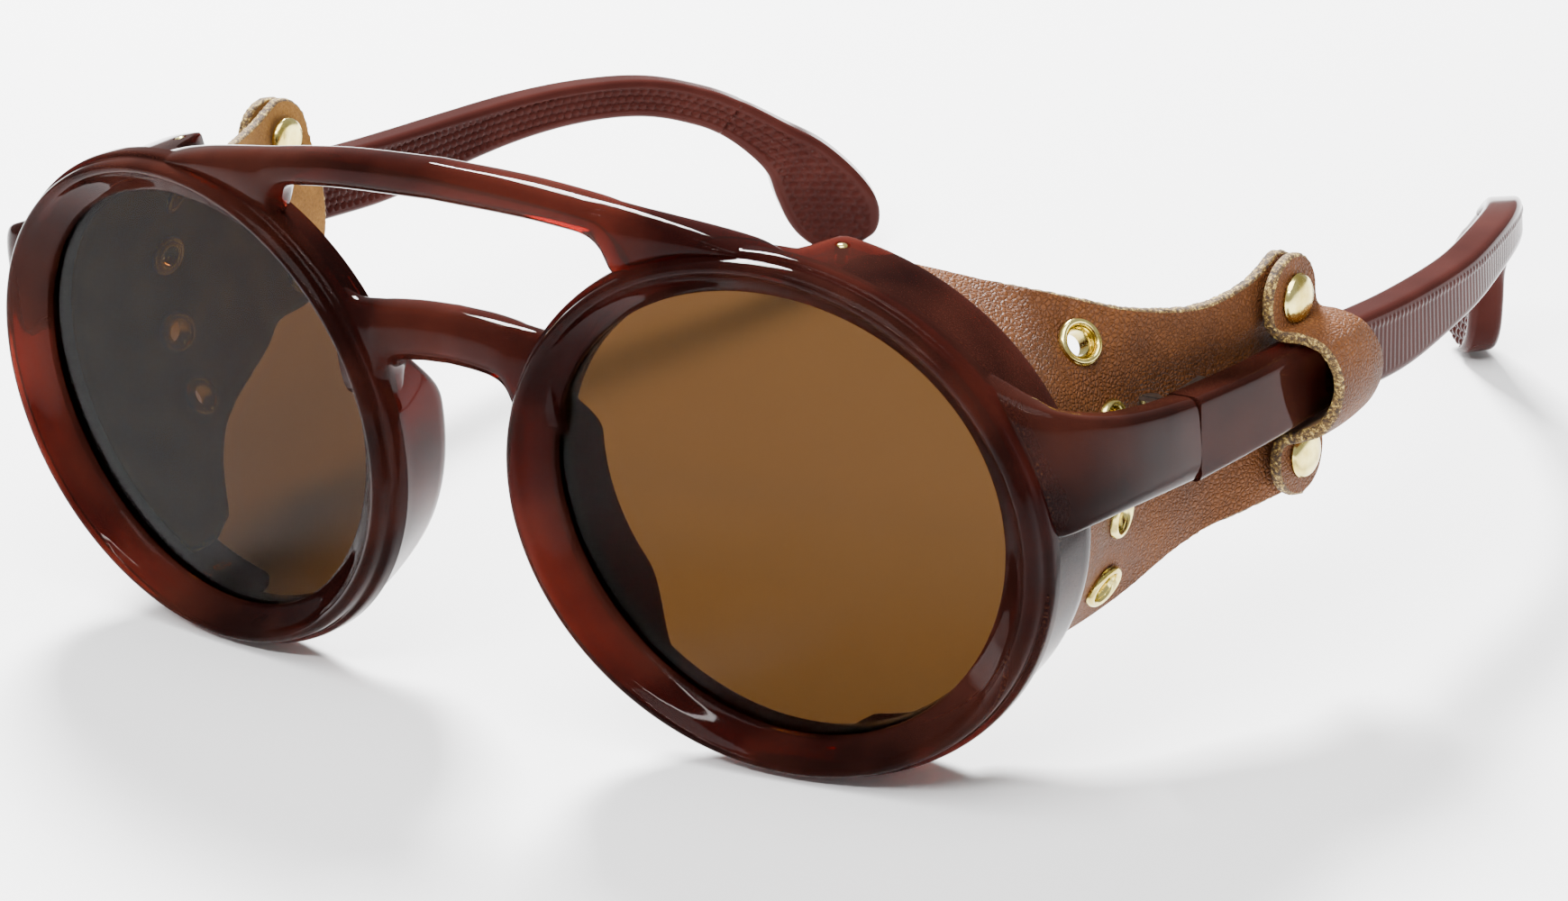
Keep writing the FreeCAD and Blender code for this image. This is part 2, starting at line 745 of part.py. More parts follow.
def eyelets(side, tag):
    """Vent eyelets: a flange on the outside of the leather and a barrel through it."""
    solids = []
    thickness = size("leather_thickness")
    for number, (point, outward) in enumerate(eyelet_axes(side)):
        name = "eyelet_%s_%d" % (tag, number)
        flange = cylinder(name + "_flange", point + outward * 0.05, outward, "sizes.eyelet_flange_radius",
                          "sizes.eyelet_flange_height")
        inside = point - outward * (thickness + 0.8)
        barrel = cylinder(name + "_barrel", inside, outward, "sizes.eyelet_barrel_radius", thickness + 1.1)
        bore = cylinder(name + "_bore", inside - outward, outward, "sizes.eyelet_hole_radius", 6)
        solids.append(cut(name, fuse(name + "_solid", flange, barrel), bore))
    return compound("eyelets_" + tag, solids)


def eyelet_washers(side, tag):
    """The rings on the inside of the leather that the eyelets' barrels are rolled over."""
    solids = []
    thickness = size("leather_thickness")
    for number, (point, outward) in enumerate(eyelet_axes(side)):
        name = "washer_%s_%d" % (tag, number)
        base = point - outward * (thickness + 0.75)
        disc = cylinder(name + "_disc", base, outward, "sizes.eyelet_flange_radius", 0.5)
        bore = cylinder(name + "_bore", base - outward, outward, "sizes.eyelet_barrel_radius", 4)
        solids.append(cut(name, disc, bore))
    return compound("eyelet_washers_" + tag, solids)


def shield_pins(side, tag):
    """Two pins through the temporal wall that hold the leather in its pocket."""
    solids = [
        cylinder("pin_%s_%d" % (tag, number), outside + inward * 0.15, inward, "sizes.pin_radius",
                 "sizes.pin_length")
        for number, (outside, inward) in enumerate(pin_axes(side))
    ]
    return compound("shield_pins_" + tag, solids)


# ---------------------------------------------------------------- the whole pair

PAIRED = {
    "lens": lens,
    "temple": temple,
    "hinge_front_leaf": hinge_front_leaf,
    "hinge_temple_leaf": hinge_temple_leaf,
    "hinge_screw": hinge_screw,
    "side_shield": side_shield,
    "strap_loop": strap_loop,
    "eyelets": eyelets,
    "eyelet_washers": eyelet_washers,
    "rivet_caps": rivet_caps,
    "rivet_posts": rivet_posts,
    "shield_pins": shield_pins,
}


def make_parts():
    parts = [front_frame()]
    for side, tag in SIDES:
        parts += [build(side, tag) for build in PAIRED.values()]
    for part in parts:
        part.Label = part.Name
    return parts


def check(parts):
    for item in doc.Objects:
        if {"Invalid", "Error"} & set(item.State):
            raise RuntimeError("%s did not compute: %s" % (item.Name, item.State))
    for part in parts:
        if part.Shape.isNull() or not part.Shape.isValid() or not part.Shape.Solids:
            raise RuntimeError("%s has no valid shape" % part.Label)


def write(parts):
    os.makedirs("parts", exist_ok=True)
    for part in parts:
        part.Shape.exportStep("parts/%s.step" % part.Label)
        print("%-26s %2d solids %9.1f mm3" % (part.Label, len(part.Shape.Solids), part.Shape.Volume))


PARTS = make_parts()
doc.recompute()
check(PARTS)
write(PARTS)
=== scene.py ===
import json
import math

import bmesh
import bpy
from mathutils import Matrix, Vector, noise


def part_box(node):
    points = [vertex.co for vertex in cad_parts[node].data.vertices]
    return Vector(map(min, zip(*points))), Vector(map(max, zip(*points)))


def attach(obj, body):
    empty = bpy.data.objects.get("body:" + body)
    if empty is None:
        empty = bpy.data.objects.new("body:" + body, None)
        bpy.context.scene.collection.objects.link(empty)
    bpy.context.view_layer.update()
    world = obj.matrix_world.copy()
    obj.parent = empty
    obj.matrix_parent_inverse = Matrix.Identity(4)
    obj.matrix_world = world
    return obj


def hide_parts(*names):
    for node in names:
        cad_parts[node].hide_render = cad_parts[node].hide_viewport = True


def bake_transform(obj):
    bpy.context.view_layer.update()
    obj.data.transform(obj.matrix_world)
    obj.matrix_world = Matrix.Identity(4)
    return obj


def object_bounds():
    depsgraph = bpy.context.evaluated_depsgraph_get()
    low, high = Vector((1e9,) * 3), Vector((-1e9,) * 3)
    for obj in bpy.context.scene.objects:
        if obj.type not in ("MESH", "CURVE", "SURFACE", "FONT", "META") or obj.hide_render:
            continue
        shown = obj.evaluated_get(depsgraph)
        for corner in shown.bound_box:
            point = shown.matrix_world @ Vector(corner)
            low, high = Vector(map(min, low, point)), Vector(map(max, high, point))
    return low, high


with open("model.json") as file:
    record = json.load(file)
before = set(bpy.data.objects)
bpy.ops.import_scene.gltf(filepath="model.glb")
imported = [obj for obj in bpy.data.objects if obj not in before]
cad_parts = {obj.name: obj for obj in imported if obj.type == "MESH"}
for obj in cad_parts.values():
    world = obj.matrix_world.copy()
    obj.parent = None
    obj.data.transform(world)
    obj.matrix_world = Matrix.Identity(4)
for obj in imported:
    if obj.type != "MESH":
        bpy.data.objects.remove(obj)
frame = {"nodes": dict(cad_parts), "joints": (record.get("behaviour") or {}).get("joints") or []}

# Glacier glasses. Lengths are in millimetres unless a name says otherwise; MM turns them into metres.
# "x" grows to the wearer's left, "depth" is the distance behind the lens centres, and "level" is the height
# above them.

MM = 0.001
CAD_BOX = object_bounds()
JOINTS = {joint["name"]: joint for joint in frame["joints"]}
HINGE = Vector(JOINTS["temple_fold_left"]["pos_m"]) / MM
LENS_LOW, LENS_HIGH = (Vector(corner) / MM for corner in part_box("lens_left"))
# The lens leans with its rim, so the middle of its box is this much nearer the nose than the rim's middle.
LENS_BOX_SHIFT = 0.19
LENS_X = (LENS_LOW.x + LENS_HIGH.x) / 2 + LENS_BOX_SHIFT
LENS_Z = (LENS_LOW.z + LENS_HIGH.z) / 2
HINGE_DEPTH = 27.0
FRONT_Y = HINGE.y - HINGE_DEPTH
# How far each rim is turned back towards its temple.
WRAP = math.radians(6.0)
SIDES = ((1, "left"), (-1, "right"))


def in_frame(x, depth, level):
    """A point in the part's own frame, in millimetres, from its place about the lens centres."""
    return Vector((x, depth + FRONT_Y, level + LENS_Z))


def place(x, depth, level):
    """The same point in metres."""
    return in_frame(x, depth, level) * MM


def rim_point(side, across, up, back):
    """A point given in a rim's own frame: across to the temple, up, and back along its lean."""
    x = LENS_X + across * math.cos(WRAP) - back * math.sin(WRAP)
    depth = across * math.sin(WRAP) + back * math.cos(WRAP)
    return place(side * x, depth, up)


def step(low, high, value):
    """0 below low, 1 above high, smooth between."""
    t = min(1.0, max(0.0, (value - low) / (high - low)))
    return t * t * (3 - 2 * t)


def through(points, value):
    """A smooth curve through (value, result) points, read at a value. Results may be tuples."""
    last = len(points) - 1
    index = 0
    while index < last - 1 and value > points[index + 1][0]:
        index += 1
    v0, v1 = points[index][0], points[index + 1][0]
    t = min(1.0, max(0.0, (value - v0) / (v1 - v0)))
    before, after = points[max(index - 1, 0)], points[min(index + 2, last)]

    def blend(p0, p1, p2, p3):
        width = v1 - v0
        slope1 = (p2 - p0) / (v1 - before[0]) * width if index > 0 else (p2 - p1)
        slope2 = (p3 - p1) / (after[0] - v0) * width if index < last - 1 else (p2 - p1)
        t2, t3 = t * t, t * t * t
        return ((2 * t3 - 3 * t2 + 1) * p1 + (t3 - 2 * t2 + t) * slope1
                + (-2 * t3 + 3 * t2) * p2 + (t3 - t2) * slope2)

    four = (before[1], points[index][1], points[index + 1][1], after[1])
    if isinstance(four[0], tuple):
        return tuple(blend(*numbers) for numbers in zip(*four))
    return blend(*four)


def by_distance(points):
    """The points of a line, each with its distance from the first. Their first two numbers are places."""
    keyed = [(0.0, points[0])]
    for before, after in zip(points, points[1:]):
        keyed.append((keyed[-1][0] + math.hypot(after[0] - before[0], after[1] - before[1]), after))
    return keyed


def heading(behind, ahead):
    """The unit direction from one point to another, by their first two numbers."""
    return Vector((ahead[0] - behind[0], ahead[1] - behind[1])).normalized()


# ---------------------------------------------------------------- mesh helpers

def make_object(name, vertices, faces, material=None):
    """A mesh in the scene. Its vertices are in metres."""
    mesh = bpy.data.meshes.new(name)
    mesh.from_pydata([tuple(v) for v in vertices], [], faces)
    mesh.update()
    obj = bpy.data.objects.new(name, mesh)
    bpy.context.scene.collection.objects.link(obj)
    if material:
        mesh.materials.append(material)
    return obj


def grid_faces(rows, columns, close_rows=False, offset=0):
    """Quads over rows of points. Each row is a ring, and close_rows joins the last row to the first."""
    faces = []
    for r in range(rows if close_rows else rows - 1):
        for c in range(columns):
            r2, c2 = (r + 1) % rows, (c + 1) % columns
            faces.append((offset + r * columns + c, offset + r * columns + c2,
                          offset + r2 * columns + c2, offset + r2 * columns + c))
    return faces


def tube(name, rings, material=None, closed=False):
    """A closed solid on rings of points. Open ends are closed with a fan."""
    rows, columns = len(rings), len(rings[0])
    vertices = [point for ring in rings for point in ring]
    faces = grid_faces(rows, columns, close_rows=closed)
    if not closed:
        for ring, first in ((rings[0], 0), (rings[-1], (rows - 1) * columns)):
            middle = sum((Vector(p) for p in ring), Vector()) / columns
            vertices.append(middle)
            hub = len(vertices) - 1
            for c in range(columns):
                a, b = first + c, first + (c + 1) % columns
                faces.append((b, a, hub) if first == 0 else (a, b, hub))
    obj = make_object(name, vertices, faces, material)
    outward(obj)
    return obj


def outward(obj):
    """Points all the normals of a closed mesh outwards."""
    edit = bmesh.new()
    edit.from_mesh(obj.data)
    bmesh.ops.recalc_face_normals(edit, faces=edit.faces)
    if edit.calc_volume(signed=True) < 0:
        bmesh.ops.reverse_faces(edit, faces=edit.faces)
    edit.to_mesh(obj.data)
    edit.free()


def smooth(obj, angle):
    """Smooth shading, with edges sharper than an angle in degrees kept crisp."""
    for polygon in obj.data.polygons:
        polygon.use_smooth = True
    obj.data.set_sharp_from_angle(angle=math.radians(angle))
    return obj


def combine(base, others, operation):
    """The exact union or difference of closed solids, applied to the first."""
    group = bpy.data.collections.new(base.name + "_tools")
    bpy.context.scene.collection.children.link(group)
    for other in others:
        group.objects.link(other)
    modifier = base.modifiers.new("combine", "BOOLEAN")
    modifier.operation = operation
    modifier.solver = "EXACT"
    modifier.operand_type = "COLLECTION"
    modifier.collection = group
    bpy.context.view_layer.update()
    graph = bpy.context.evaluated_depsgraph_get()
    result = bpy.data.meshes.new_from_object(base.evaluated_get(graph))
    base.modifiers.clear()
    base.data = result
    for other in others:
        bpy.data.objects.remove(other)
    bpy.data.collections.remove(group)
    return base


def axis_turn(direction):
    """The matrix that turns the Z axis to a direction."""
    return direction.normalized().to_track_quat("Z", "Y").to_matrix()


def circle(base, turn, radius, height, count):
    """Points in metres round a turned axis from a base in millimetres, at a height along it."""
    ring = []
    for index in range(count):
        angle = 2 * math.pi * index / count
        local = Vector((radius * math.cos(angle), radius * math.sin(angle), height))
        ring.append((base + turn @ local) * MM)
    return ring


def cylinder_tool(name, base, direction, radius, length, count=40):
    """A plain closed cylinder for cutting."""
    turn = axis_turn(direction)
    return tube(name, [circle(base, turn, radius, height, count) for height in (0.0, length)])


# The radius of a profile's point on its axis, and the distance in metres at which such points become one.
AXIS = 0.001
MERGE_METRES = 1e-7


def turned(name, profiles, material, count=64):
    """Turned pieces as one object. Each profile is (base, direction, [(radius, height), ...])."""
    vertices, faces = [], []
    for base, direction, profile in profiles:
        turn = axis_turn(direction)
        is_ring = profile[0][0] > AXIS
        faces += grid_faces(len(profile), count, close_rows=is_ring, offset=len(vertices))
        for radius, height in profile:
            vertices += circle(base, turn, radius, height, count)
    obj = make_object(name, vertices, faces, material)
    edit = bmesh.new()
    edit.from_mesh(obj.data)
    bmesh.ops.remove_doubles(edit, verts=edit.verts, dist=MERGE_METRES)
    edit.to_mesh(obj.data)
    edit.free()
    outward(obj)
    return smooth(obj, 45)


# ---------------------------------------------------------------- materials

class Finish:
    """A material in the making: one Principled shader, with textures on the object's own coordinates."""

    def __init__(self, name):
        self.material = bpy.data.materials.new(name)
        self.material.use_nodes = True
        self.nodes = self.material.node_tree.nodes
        self.link = self.material.node_tree.links.new
        self.nodes.clear()
        self.output = self.nodes.new("ShaderNodeOutputMaterial")
        self.shader = self.nodes.new("ShaderNodeBsdfPrincipled")
        self.link(self.shader.outputs["BSDF"], self.output.inputs["Surface"])

    def fill(self, node, values):
        """Sets a node's inputs, or else its settings, by name. A value may be another node's output."""
        for key, value in values.items():
            name = key.replace("_", " ")
            if name not in node.inputs:
                setattr(node, key, value)
            elif isinstance(value, bpy.types.NodeSocket):
                self.link(value, node.inputs[name])
            else:
                node.inputs[name].default_value = value
        return node

    def set(self, **values):
        """Sets the shader's inputs."""
        self.fill(self.shader, values)

    def node(self, kind, **values):
        return self.fill(self.nodes.new("ShaderNode" + kind), values)

    def coordinates(self):
        return self.node("TexCoord").outputs["Object"]

    def noise(self, **values):
        """The heights of a noise texture."""
        return self.node("TexNoise", Vector=self.coordinates(), **values).outputs["Fac"]

    def ramp(self, source, *stops):
        """The colours of a ramp with two or more (position, colour) stops."""
        node = self.node("ValToRGB", Fac=source)
        elements = node.color_ramp.elements
        while len(elements) < len(stops):
            elements.new(1.0)
        for element, (position, colour) in zip(elements, stops):
            element.position = position
            element.color = (*colour, 1.0)
        return node.outputs["Color"]

    def spread(self, source, low, high, to_low, to_high):
        """A number taken from one range to another."""
        node = self.node("MapRange", Value=source, From_Min=low, From_Max=high, To_Min=to_low, To_Max=to_high)
        return node.outputs["Result"]

    def multiplied(self, first, second, factor):
        """One colour darkened by another."""
        node = self.node("Mix", data_type="RGBA", blend_type="MULTIPLY")
        factor_in, first_in, second_in = (node.inputs[index] for index in (0, 6, 7))
        factor_in.default_value = factor
        self.link(first, first_in)
        self.link(second, second_in)
        return node.outputs[2]

    def bump(self, height, strength, distance, below=None):
        """Bumps the shader's surface on top of the bump below, and gives the bumped normal."""
        node = self.node("Bump", Strength=strength, Distance=distance * MM, Height=height)
        if below:
            self.link(below, node.inputs["Normal"])
        self.set(Normal=node.outputs["Normal"])
        return node.outputs["Normal"]

    def absorb(self, tint, density):
        """Tints the light that goes through the body. The density is per metre."""
        node = self.node("VolumeAbsorption", Color=(*tint, 1.0), Density=density)
        self.link(node.outputs["Volume"], self.output.inputs["Volume"])


BLACK = (0, 0, 0)
WHITE = (1, 1, 1)
PLASTIC_IOR = 1.11
LENS_IOR = 1.12


def plastic(name, tint, density, roughness, clear, dark, light):
    """Tinted plastic, clear by a share, with clouds from dark to light and faint scuffs."""
    finish = Finish(name)
    clouds = finish.noise(Scale=50.0, Detail=3.0, Roughness=0.5)
    scuffs = finish.noise(Scale=260.0, Detail=6.0, Roughness=0.7)
    finish.set(Base_Color=finish.ramp(clouds, (0.42, dark), (0.7, light)),
               Roughness=finish.spread(scuffs, 0.3, 0.8, roughness, roughness + 0.05),
               Transmission_Weight=clear, IOR=PLASTIC_IOR)
    finish.absorb(tint, density)
    return finish.material


def grain_leather(name, light, dark):
    """Pebbled finished leather: small rounded cells with painted shade in their creases, broad colour changes
    and wear.
    """
    finish = Finish(name)
    wander = finish.node("TexNoise", Vector=finish.coordinates(), Scale=900.0, Detail=3.0)
    # the creases wander by up to half a millimetre
    shift = finish.node("VectorMath", operation="MULTIPLY_ADD")
    finish.link(wander.outputs["Color"], shift.inputs[0])
    shift.inputs[1].default_value = (0.5 * MM,) * 3
    finish.link(finish.coordinates(), shift.inputs[2])
    cells = finish.node("TexVoronoi", feature="DISTANCE_TO_EDGE", Vector=shift.outputs[0], Scale=2000.0)
    from_crease = cells.outputs["Distance"]
    tone = finish.noise(Scale=90.0, Detail=5.0, Roughness=0.6)
    pores = finish.noise(Scale=5000.0, Detail=3.0)
    colours = finish.ramp(tone, (0.3, dark), (0.7, light))
    # painted shade: the colour darkens towards the creases between the pebbles, standing in for the shade
    # that falls there
    painted_crease_shade = finish.ramp(from_crease, (0.0, (0.45, 0.42, 0.4)), (0.16, WHITE))
    pebbles = finish.ramp(from_crease, (0.0, BLACK), (0.3, WHITE))
    finish.bump(pebbles, 0.75, 0.22, below=finish.bump(pores, 0.35, 0.05))
    finish.set(Base_Color=finish.multiplied(colours, painted_crease_shade, 0.6),
               Roughness=finish.spread(tone, 0.3, 0.7, 0.5, 0.66), Specular_IOR_Level=0.16)
    return finish.material


def suede(name, light, dark):
    """The flesh side of the leather: short matt nap with mottled colour."""
    finish = Finish(name)
    nap = finish.noise(Scale=2600.0, Detail=6.0, Roughness=0.75)
    mottle = finish.noise(Scale=160.0, Detail=4.0)
    colours = finish.ramp(mottle, (0.3, dark), (0.7, light))
    specks = finish.ramp(nap, (0.3, (0.62, 0.58, 0.5)), (0.62, (1.1, 1.08, 1.0)))
    finish.bump(nap, 0.7, 0.12)
    finish.set(Base_Color=finish.multiplied(colours, specks, 1.0), Roughness=0.92, Sheen_Weight=0.08,
               Sheen_Roughness=0.5, Specular_IOR_Level=0.15)
    return finish.material


def raw_edge(name):
    """The cut edge: dark burnt dye with pale golden fibres standing out of it."""
    finish = Finish(name)
    fibres = finish.noise(Scale=2300.0, Detail=4.0, Roughness=0.8)
    finish.bump(fibres, 0.9, 0.25)
    finish.set(Base_Color=finish.ramp(fibres, (0.38, (0.02, 0.009, 0.003)), (0.49, (0.08, 0.04, 0.01)),
                                      (0.56, (0.24, 0.14, 0.03)), (0.63, (0.62, 0.46, 0.13))),
               Roughness=0.7)
    return finish.material


def brass(name):
    """Polished pale brass with fine scratches and a little tarnish."""
    finish = Finish(name)
    tarnish = finish.noise(Scale=420.0, Detail=5.0)
    scratches = finish.noise(Scale=2400.0, Detail=2.0)
    finish.bump(tarnish, 0.12, 0.06)
    finish.set(Base_Color=finish.ramp(tarnish, (0.36, (0.58, 0.45, 0.11)), (0.58, (0.82, 0.71, 0.26))),
               Roughness=finish.spread(scratches, 0.3, 0.75, 0.12, 0.3), Metallic=1.0)
    return finish.material


def steel(name):
    """Turned steel of the hinges and screws."""
    finish = Finish(name)
    marks = finish.noise(Scale=1500.0, Detail=4.0)
    finish.bump(marks, 0.2, 0.03)
    finish.set(Base_Color=finish.ramp(marks, (0.3, (0.22, 0.21, 0.20)), (0.7, (0.38, 0.37, 0.36))),
               Metallic=1.0, Roughness=0.32)
    return finish.material


def tinted_lens(name):
    """Brown tinted lens, clear, with the faintest unevenness in its polish."""
    finish = Finish(name)
    film = finish.noise(Scale=60.0, Detail=3.0)
    finish.set(Base_Color=finish.ramp(film, (0.3, (0.97, 0.95, 0.9)), (0.7, (1.0, 0.98, 0.94))),
               Roughness=finish.spread(film, 0.3, 0.7, 0.0, 0.003), Transmission_Weight=1.0, IOR=LENS_IOR)
    finish.absorb((0.63, 0.54, 0.38), 4600.0)
    return finish.material


FRAME_PLASTIC = plastic("frame_plastic", tint=(0.78, 0.45, 0.38), density=2200.0, roughness=0.02, clear=0.8,
                        dark=(0.035, 0.009, 0.007), light=(0.17, 0.044, 0.028))
TEMPLE_PLASTIC = plastic("temple_plastic", tint=(0.7, 0.42, 0.32), density=2600.0, roughness=0.08, clear=0.1,
                         dark=(0.031, 0.0080, 0.0065), light=(0.058, 0.0155, 0.012))
LENS_TINT = tinted_lens("lens_tint")
GRAIN = grain_leather("shield_grain", (0.168, 0.057, 0.0145), (0.072, 0.0245, 0.0085))
SUEDE = suede("shield_suede", (0.24, 0.115, 0.022), (0.14, 0.062, 0.012))
RAW_EDGE = raw_edge("leather_edge")
BRASS = brass("polished_brass")
STEEL = steel("hinge_steel")


# ---------------------------------------------------------------- front

OPENING = (26.8, 25.0)
RIM = (32.6, 29.5)
# The opening bulges in three lobes by this share.
LOBE = 0.014
GROOVE = (27.85, 26.05)
GROOVE_FRONT = 0.9
GROOVE_BACK = 2.75
RIM_BACK = 4.2
SKIRT_BACK = 10.0
SKIRT_THICKNESS = 2.0
PAD_BACK = 10.8
# The nose pad leans in by this share of the rim's width, and gets thinner by this share of the skirt's.
PAD_LEAN = 0.5
PAD_THINNING = 0.15
# The outer wall stands back from the face by a small step: share of the step, and depth.
WALL_STEP = 0.9
STEP_SHAPE = ((0.0, 0.9), (0.3, 1.15), (1.0, 1.3))
WALL_FRONT = 1.0
WALL_SHARES = (0.16, 0.27, 0.4, 0.55, 0.7, 0.82, 0.92)
HOLLOW_SHARES = (0.75, 0.5, 0.25, 0.0)
WALL_ROUNDING = 0.35
RIM_STEPS = 300


def oval(radii, angle):
    return Vector((radii[0] * math.cos(angle), radii[1] * math.sin(angle)))


def opening_edge(angle):
    return oval(OPENING, angle) * (1 + LOBE * math.sin(3 * angle))


# The front of the rim's section: share of the rim's width from the opening outwards, and depth.
RIM_FACE = [
    (0.00, 0.35), (0.012, 0.08), (0.05, -0.12), (0.15, -0.52), (0.27, -0.98), (0.38, -1.42), (0.45, -1.72),
    (0.50, -1.98), (0.545, -2.28), (0.59, -2.54), (0.64, -2.72), (0.69, -2.80), (0.74, -2.76), (0.785, -2.58),
    (0.82, -2.28), (0.845, -1.88), (0.86, -1.45), (0.87, -1.16), (0.89, -1.02), (0.92, -0.97), (0.95, -0.90),
    (0.975, -0.74), (0.992, -0.46), (1.0, -0.1),
]


def skirt_share(angle):
    """1 on the temple side, where the wall is deep, and 0 elsewhere. The angle is in degrees, -180 to 180."""
    return step(-86.0, -81.0, angle) * (1 - step(79.5, 84.5, angle))


def pad_share(angle):
    """1 along the nose pad. The angle is in degrees from the temple side, 0 to 360."""
    return step(154.0, 176.0, angle) * (1 - step(210.0, 242.0, angle))


def rim_section(angle):
    """The closed section of a rim at an angle, as (across, up, depth) points."""
    inner = opening_edge(angle)
    outer = oval(RIM, angle)
    groove = oval(GROOVE, angle)
    width = (outer - inner).length
    degrees = math.degrees(angle) % 360
    skirt = skirt_share(degrees if degrees < 180 else degrees - 360)
    pad = pad_share(degrees)
    points = []

    def add(share, depth):
        """Adds a point at a share of the rim's width, outwards from the opening."""
        points.append((*(inner + (outer - inner) * share), depth))

    add(0.0, GROOVE_FRONT)
    for share, depth in RIM_FACE:
        add(share, depth)
    # the outer wall behind the small step, leaning in evenly along the nose pad
    back = RIM_BACK + skirt * (SKIRT_BACK - RIM_BACK) + pad * (PAD_BACK - RIM_BACK)
    lean = PAD_LEAN * pad
    ledge = WALL_STEP / width
    for inwards, depth in STEP_SHAPE:
        add(1.0 - inwards * ledge, depth)
    for share in WALL_SHARES:
        in_by = ledge + lean * share
        add(1.0 - in_by, WALL_FRONT + (back - WALL_FRONT) * share)
    # the rounded back edge
    wall = SKIRT_THICKNESS / width
    rounding = WALL_ROUNDING / width
    outer_end = 1.0 - lean - ledge
    inner_end = outer_end - wall * (1.0 - PAD_THINNING * pad)
    add(outer_end - rounding * 0.3, back - 0.2)
    add(outer_end - rounding, back)
    add(inner_end + rounding, back)
    add(inner_end + rounding * 0.3, back - 0.2)
    # the wall's inner side and the rim's flat back
    hollow = max(skirt, pad)
    for share in HOLLOW_SHARES:
        depth = RIM_BACK + (back - RIM_BACK) * share * hollow + 0.02 * share
        in_by = ledge + lean * (depth - WALL_FRONT) / (back - WALL_FRONT)
        add(1.0 - wall - in_by, depth)
    add(0.25, RIM_BACK)
    add(0.02, RIM_BACK)
    add(0.0, RIM_BACK - 0.15)
    # the groove for the lens
    add(0.0, GROOVE_BACK)
    points.append((*groove, GROOVE_BACK))
    points.append((*groove, GROOVE_FRONT))
    return points


def rim(side, tag):
    rings = []
    for index in range(RIM_STEPS):
        angle = 2 * math.pi * index / RIM_STEPS
        rings.append([rim_point(side, *point) for point in rim_section(angle)])
    return tube("rim_" + tag, rings, closed=True)


def superellipse(count, power):
    """Points round a unit shape between a circle (power 2) and a square."""
    shape = []
    for index in range(count):
        angle = 2 * math.pi * (index + 0.5) / count
        c, s = math.cos(angle), math.sin(angle)
        shape.append((math.copysign(abs(c) ** (2 / power), c), math.copysign(abs(s) ** (2 / power), s)))
    return shape


def beam(name, stations, power, count=56):
    """A solid across the front. Each station is (x, lower, upper, front, back)."""
    rings = []
    for x, lower, upper, front, back in stations:
        ring = []
        for a, b in superellipse(count, power):
            ring.append(place(x, (front + back) / 2 + a * (back - front) / 2,
                              (lower + upper) / 2 + b * (upper - lower) / 2))
        rings.append(ring)
    return tube(name, rings)


def spaced(reach, steps):
    """Even places from one side of the nose to the other."""
    return [-reach + 2 * reach * index / steps for index in range(steps + 1)]


def rim_outline_level(x, share):
    """The level of the rim's upper side at x, for a share of the rim's width."""
    across = (abs(x) - LENS_X) / math.cos(WRAP)
    radii = [o + (r - o) * share for o, r in zip(OPENING, RIM)]
    inside = max(0.0, 1 - (across / radii[0]) ** 2)
    return radii[1] * math.sqrt(inside)


# The brow bar's curves against the distance from the middle.
BROW_TOP = [(0, 34.2), (12.7, 33.65), (24, 32.35), (33, 30.95), (38, 29.95), (42, 28.9), (45, 27.9)]
BROW_BOTTOM = [(0, 29.9), (12, 29.55), (18.5, 29.05), (20.8, 28.7), (22.2, 27.9), (23.1, 26.7), (23.7, 25.2)]
BROW_FRONT = [(0, -3.2), (12, -3.15), (25, -2.95), (36, -1.8), (47, -0.35)]
BROW_BACK = [(0, 1.5), (12, 1.7), (25, 2.2), (36, 3.4), (47, 4.4)]

# Over the rims the bar's underside follows a share of their width, sunk in a little. Its ends thin out.
BROW_REACH = 45
BROW_TAPER_START = 38.0
BROW_SEAT = 0.8
BROW_SINK = 0.4
BROW_END_HEIGHT = 0.6
BROW_END_THINNING = 1.4


def brow_station(x):
    reach = abs(x)
    upper = through(BROW_TOP, reach)
    join, join_level = BROW_BOTTOM[-1]
    if reach < join:
        lower = through(BROW_BOTTOM, reach)
    else:
        lower = max(join_level, rim_outline_level(reach, BROW_SEAT)) - BROW_SINK
    taper = step(BROW_TAPER_START, BROW_REACH, reach)
    lower += (upper - BROW_END_HEIGHT - lower) * taper
    front = through(BROW_FRONT, reach) + BROW_END_THINNING * taper
    back = through(BROW_BACK, reach) - BROW_END_THINNING * taper
    return x, lower, upper, front, back


def brow_bar():
    return beam("brow_bar", [brow_station(x) for x in spaced(BROW_REACH, 140)], power=2.6)


BRIDGE_TOP = [(0, 17.5), (5, 17.4), (10.2, 17.0), (13, 16.9), (15, 17.6)]
BRIDGE_BOTTOM = [(0, 11.2), (4.5, 11.0), (7.2, 10.4), (8.6, 9.2), (9.3, 7.4), (9.8, 5.5), (15, 5.5)]
BRIDGE_FRONT = [(0, -3.6), (6, -3.9), (10, -4.0), (15, -3.6)]
BRIDGE_BACK = [(0, 1.9), (8, 1.6), (15, 0.8)]
BRIDGE_REACH = 15


def nose_bridge():
    stations = []
    for x in spaced(BRIDGE_REACH, 80):
        curves = (BRIDGE_BOTTOM, BRIDGE_TOP, BRIDGE_FRONT, BRIDGE_BACK)
        stations.append((x, *(through(curve, abs(x)) for curve in curves)))
    return beam("bridge", stations, power=2.5)


# The end piece from inside the rim to the seam: share of the way, then x, depth, middle level, half height.
END_PATH = [
    (0.0, (67.3, 4.9, 9.2, 8.9)), (0.12, (69.8, 4.9, 8.7, 7.7)), (0.25, (71.9, 5.9, 8.2, 6.8)),
    (0.38, (73.1, 8.6, 7.7, 6.0)), (0.58, (73.8, 14.0, 6.6, 5.2)), (0.8, (73.8, 20.5, 5.3, 4.8)),
    (1.0, (73.5, 26.9, 4.1, 4.65)),
]
END_HALF_THICKNESS = 2.2
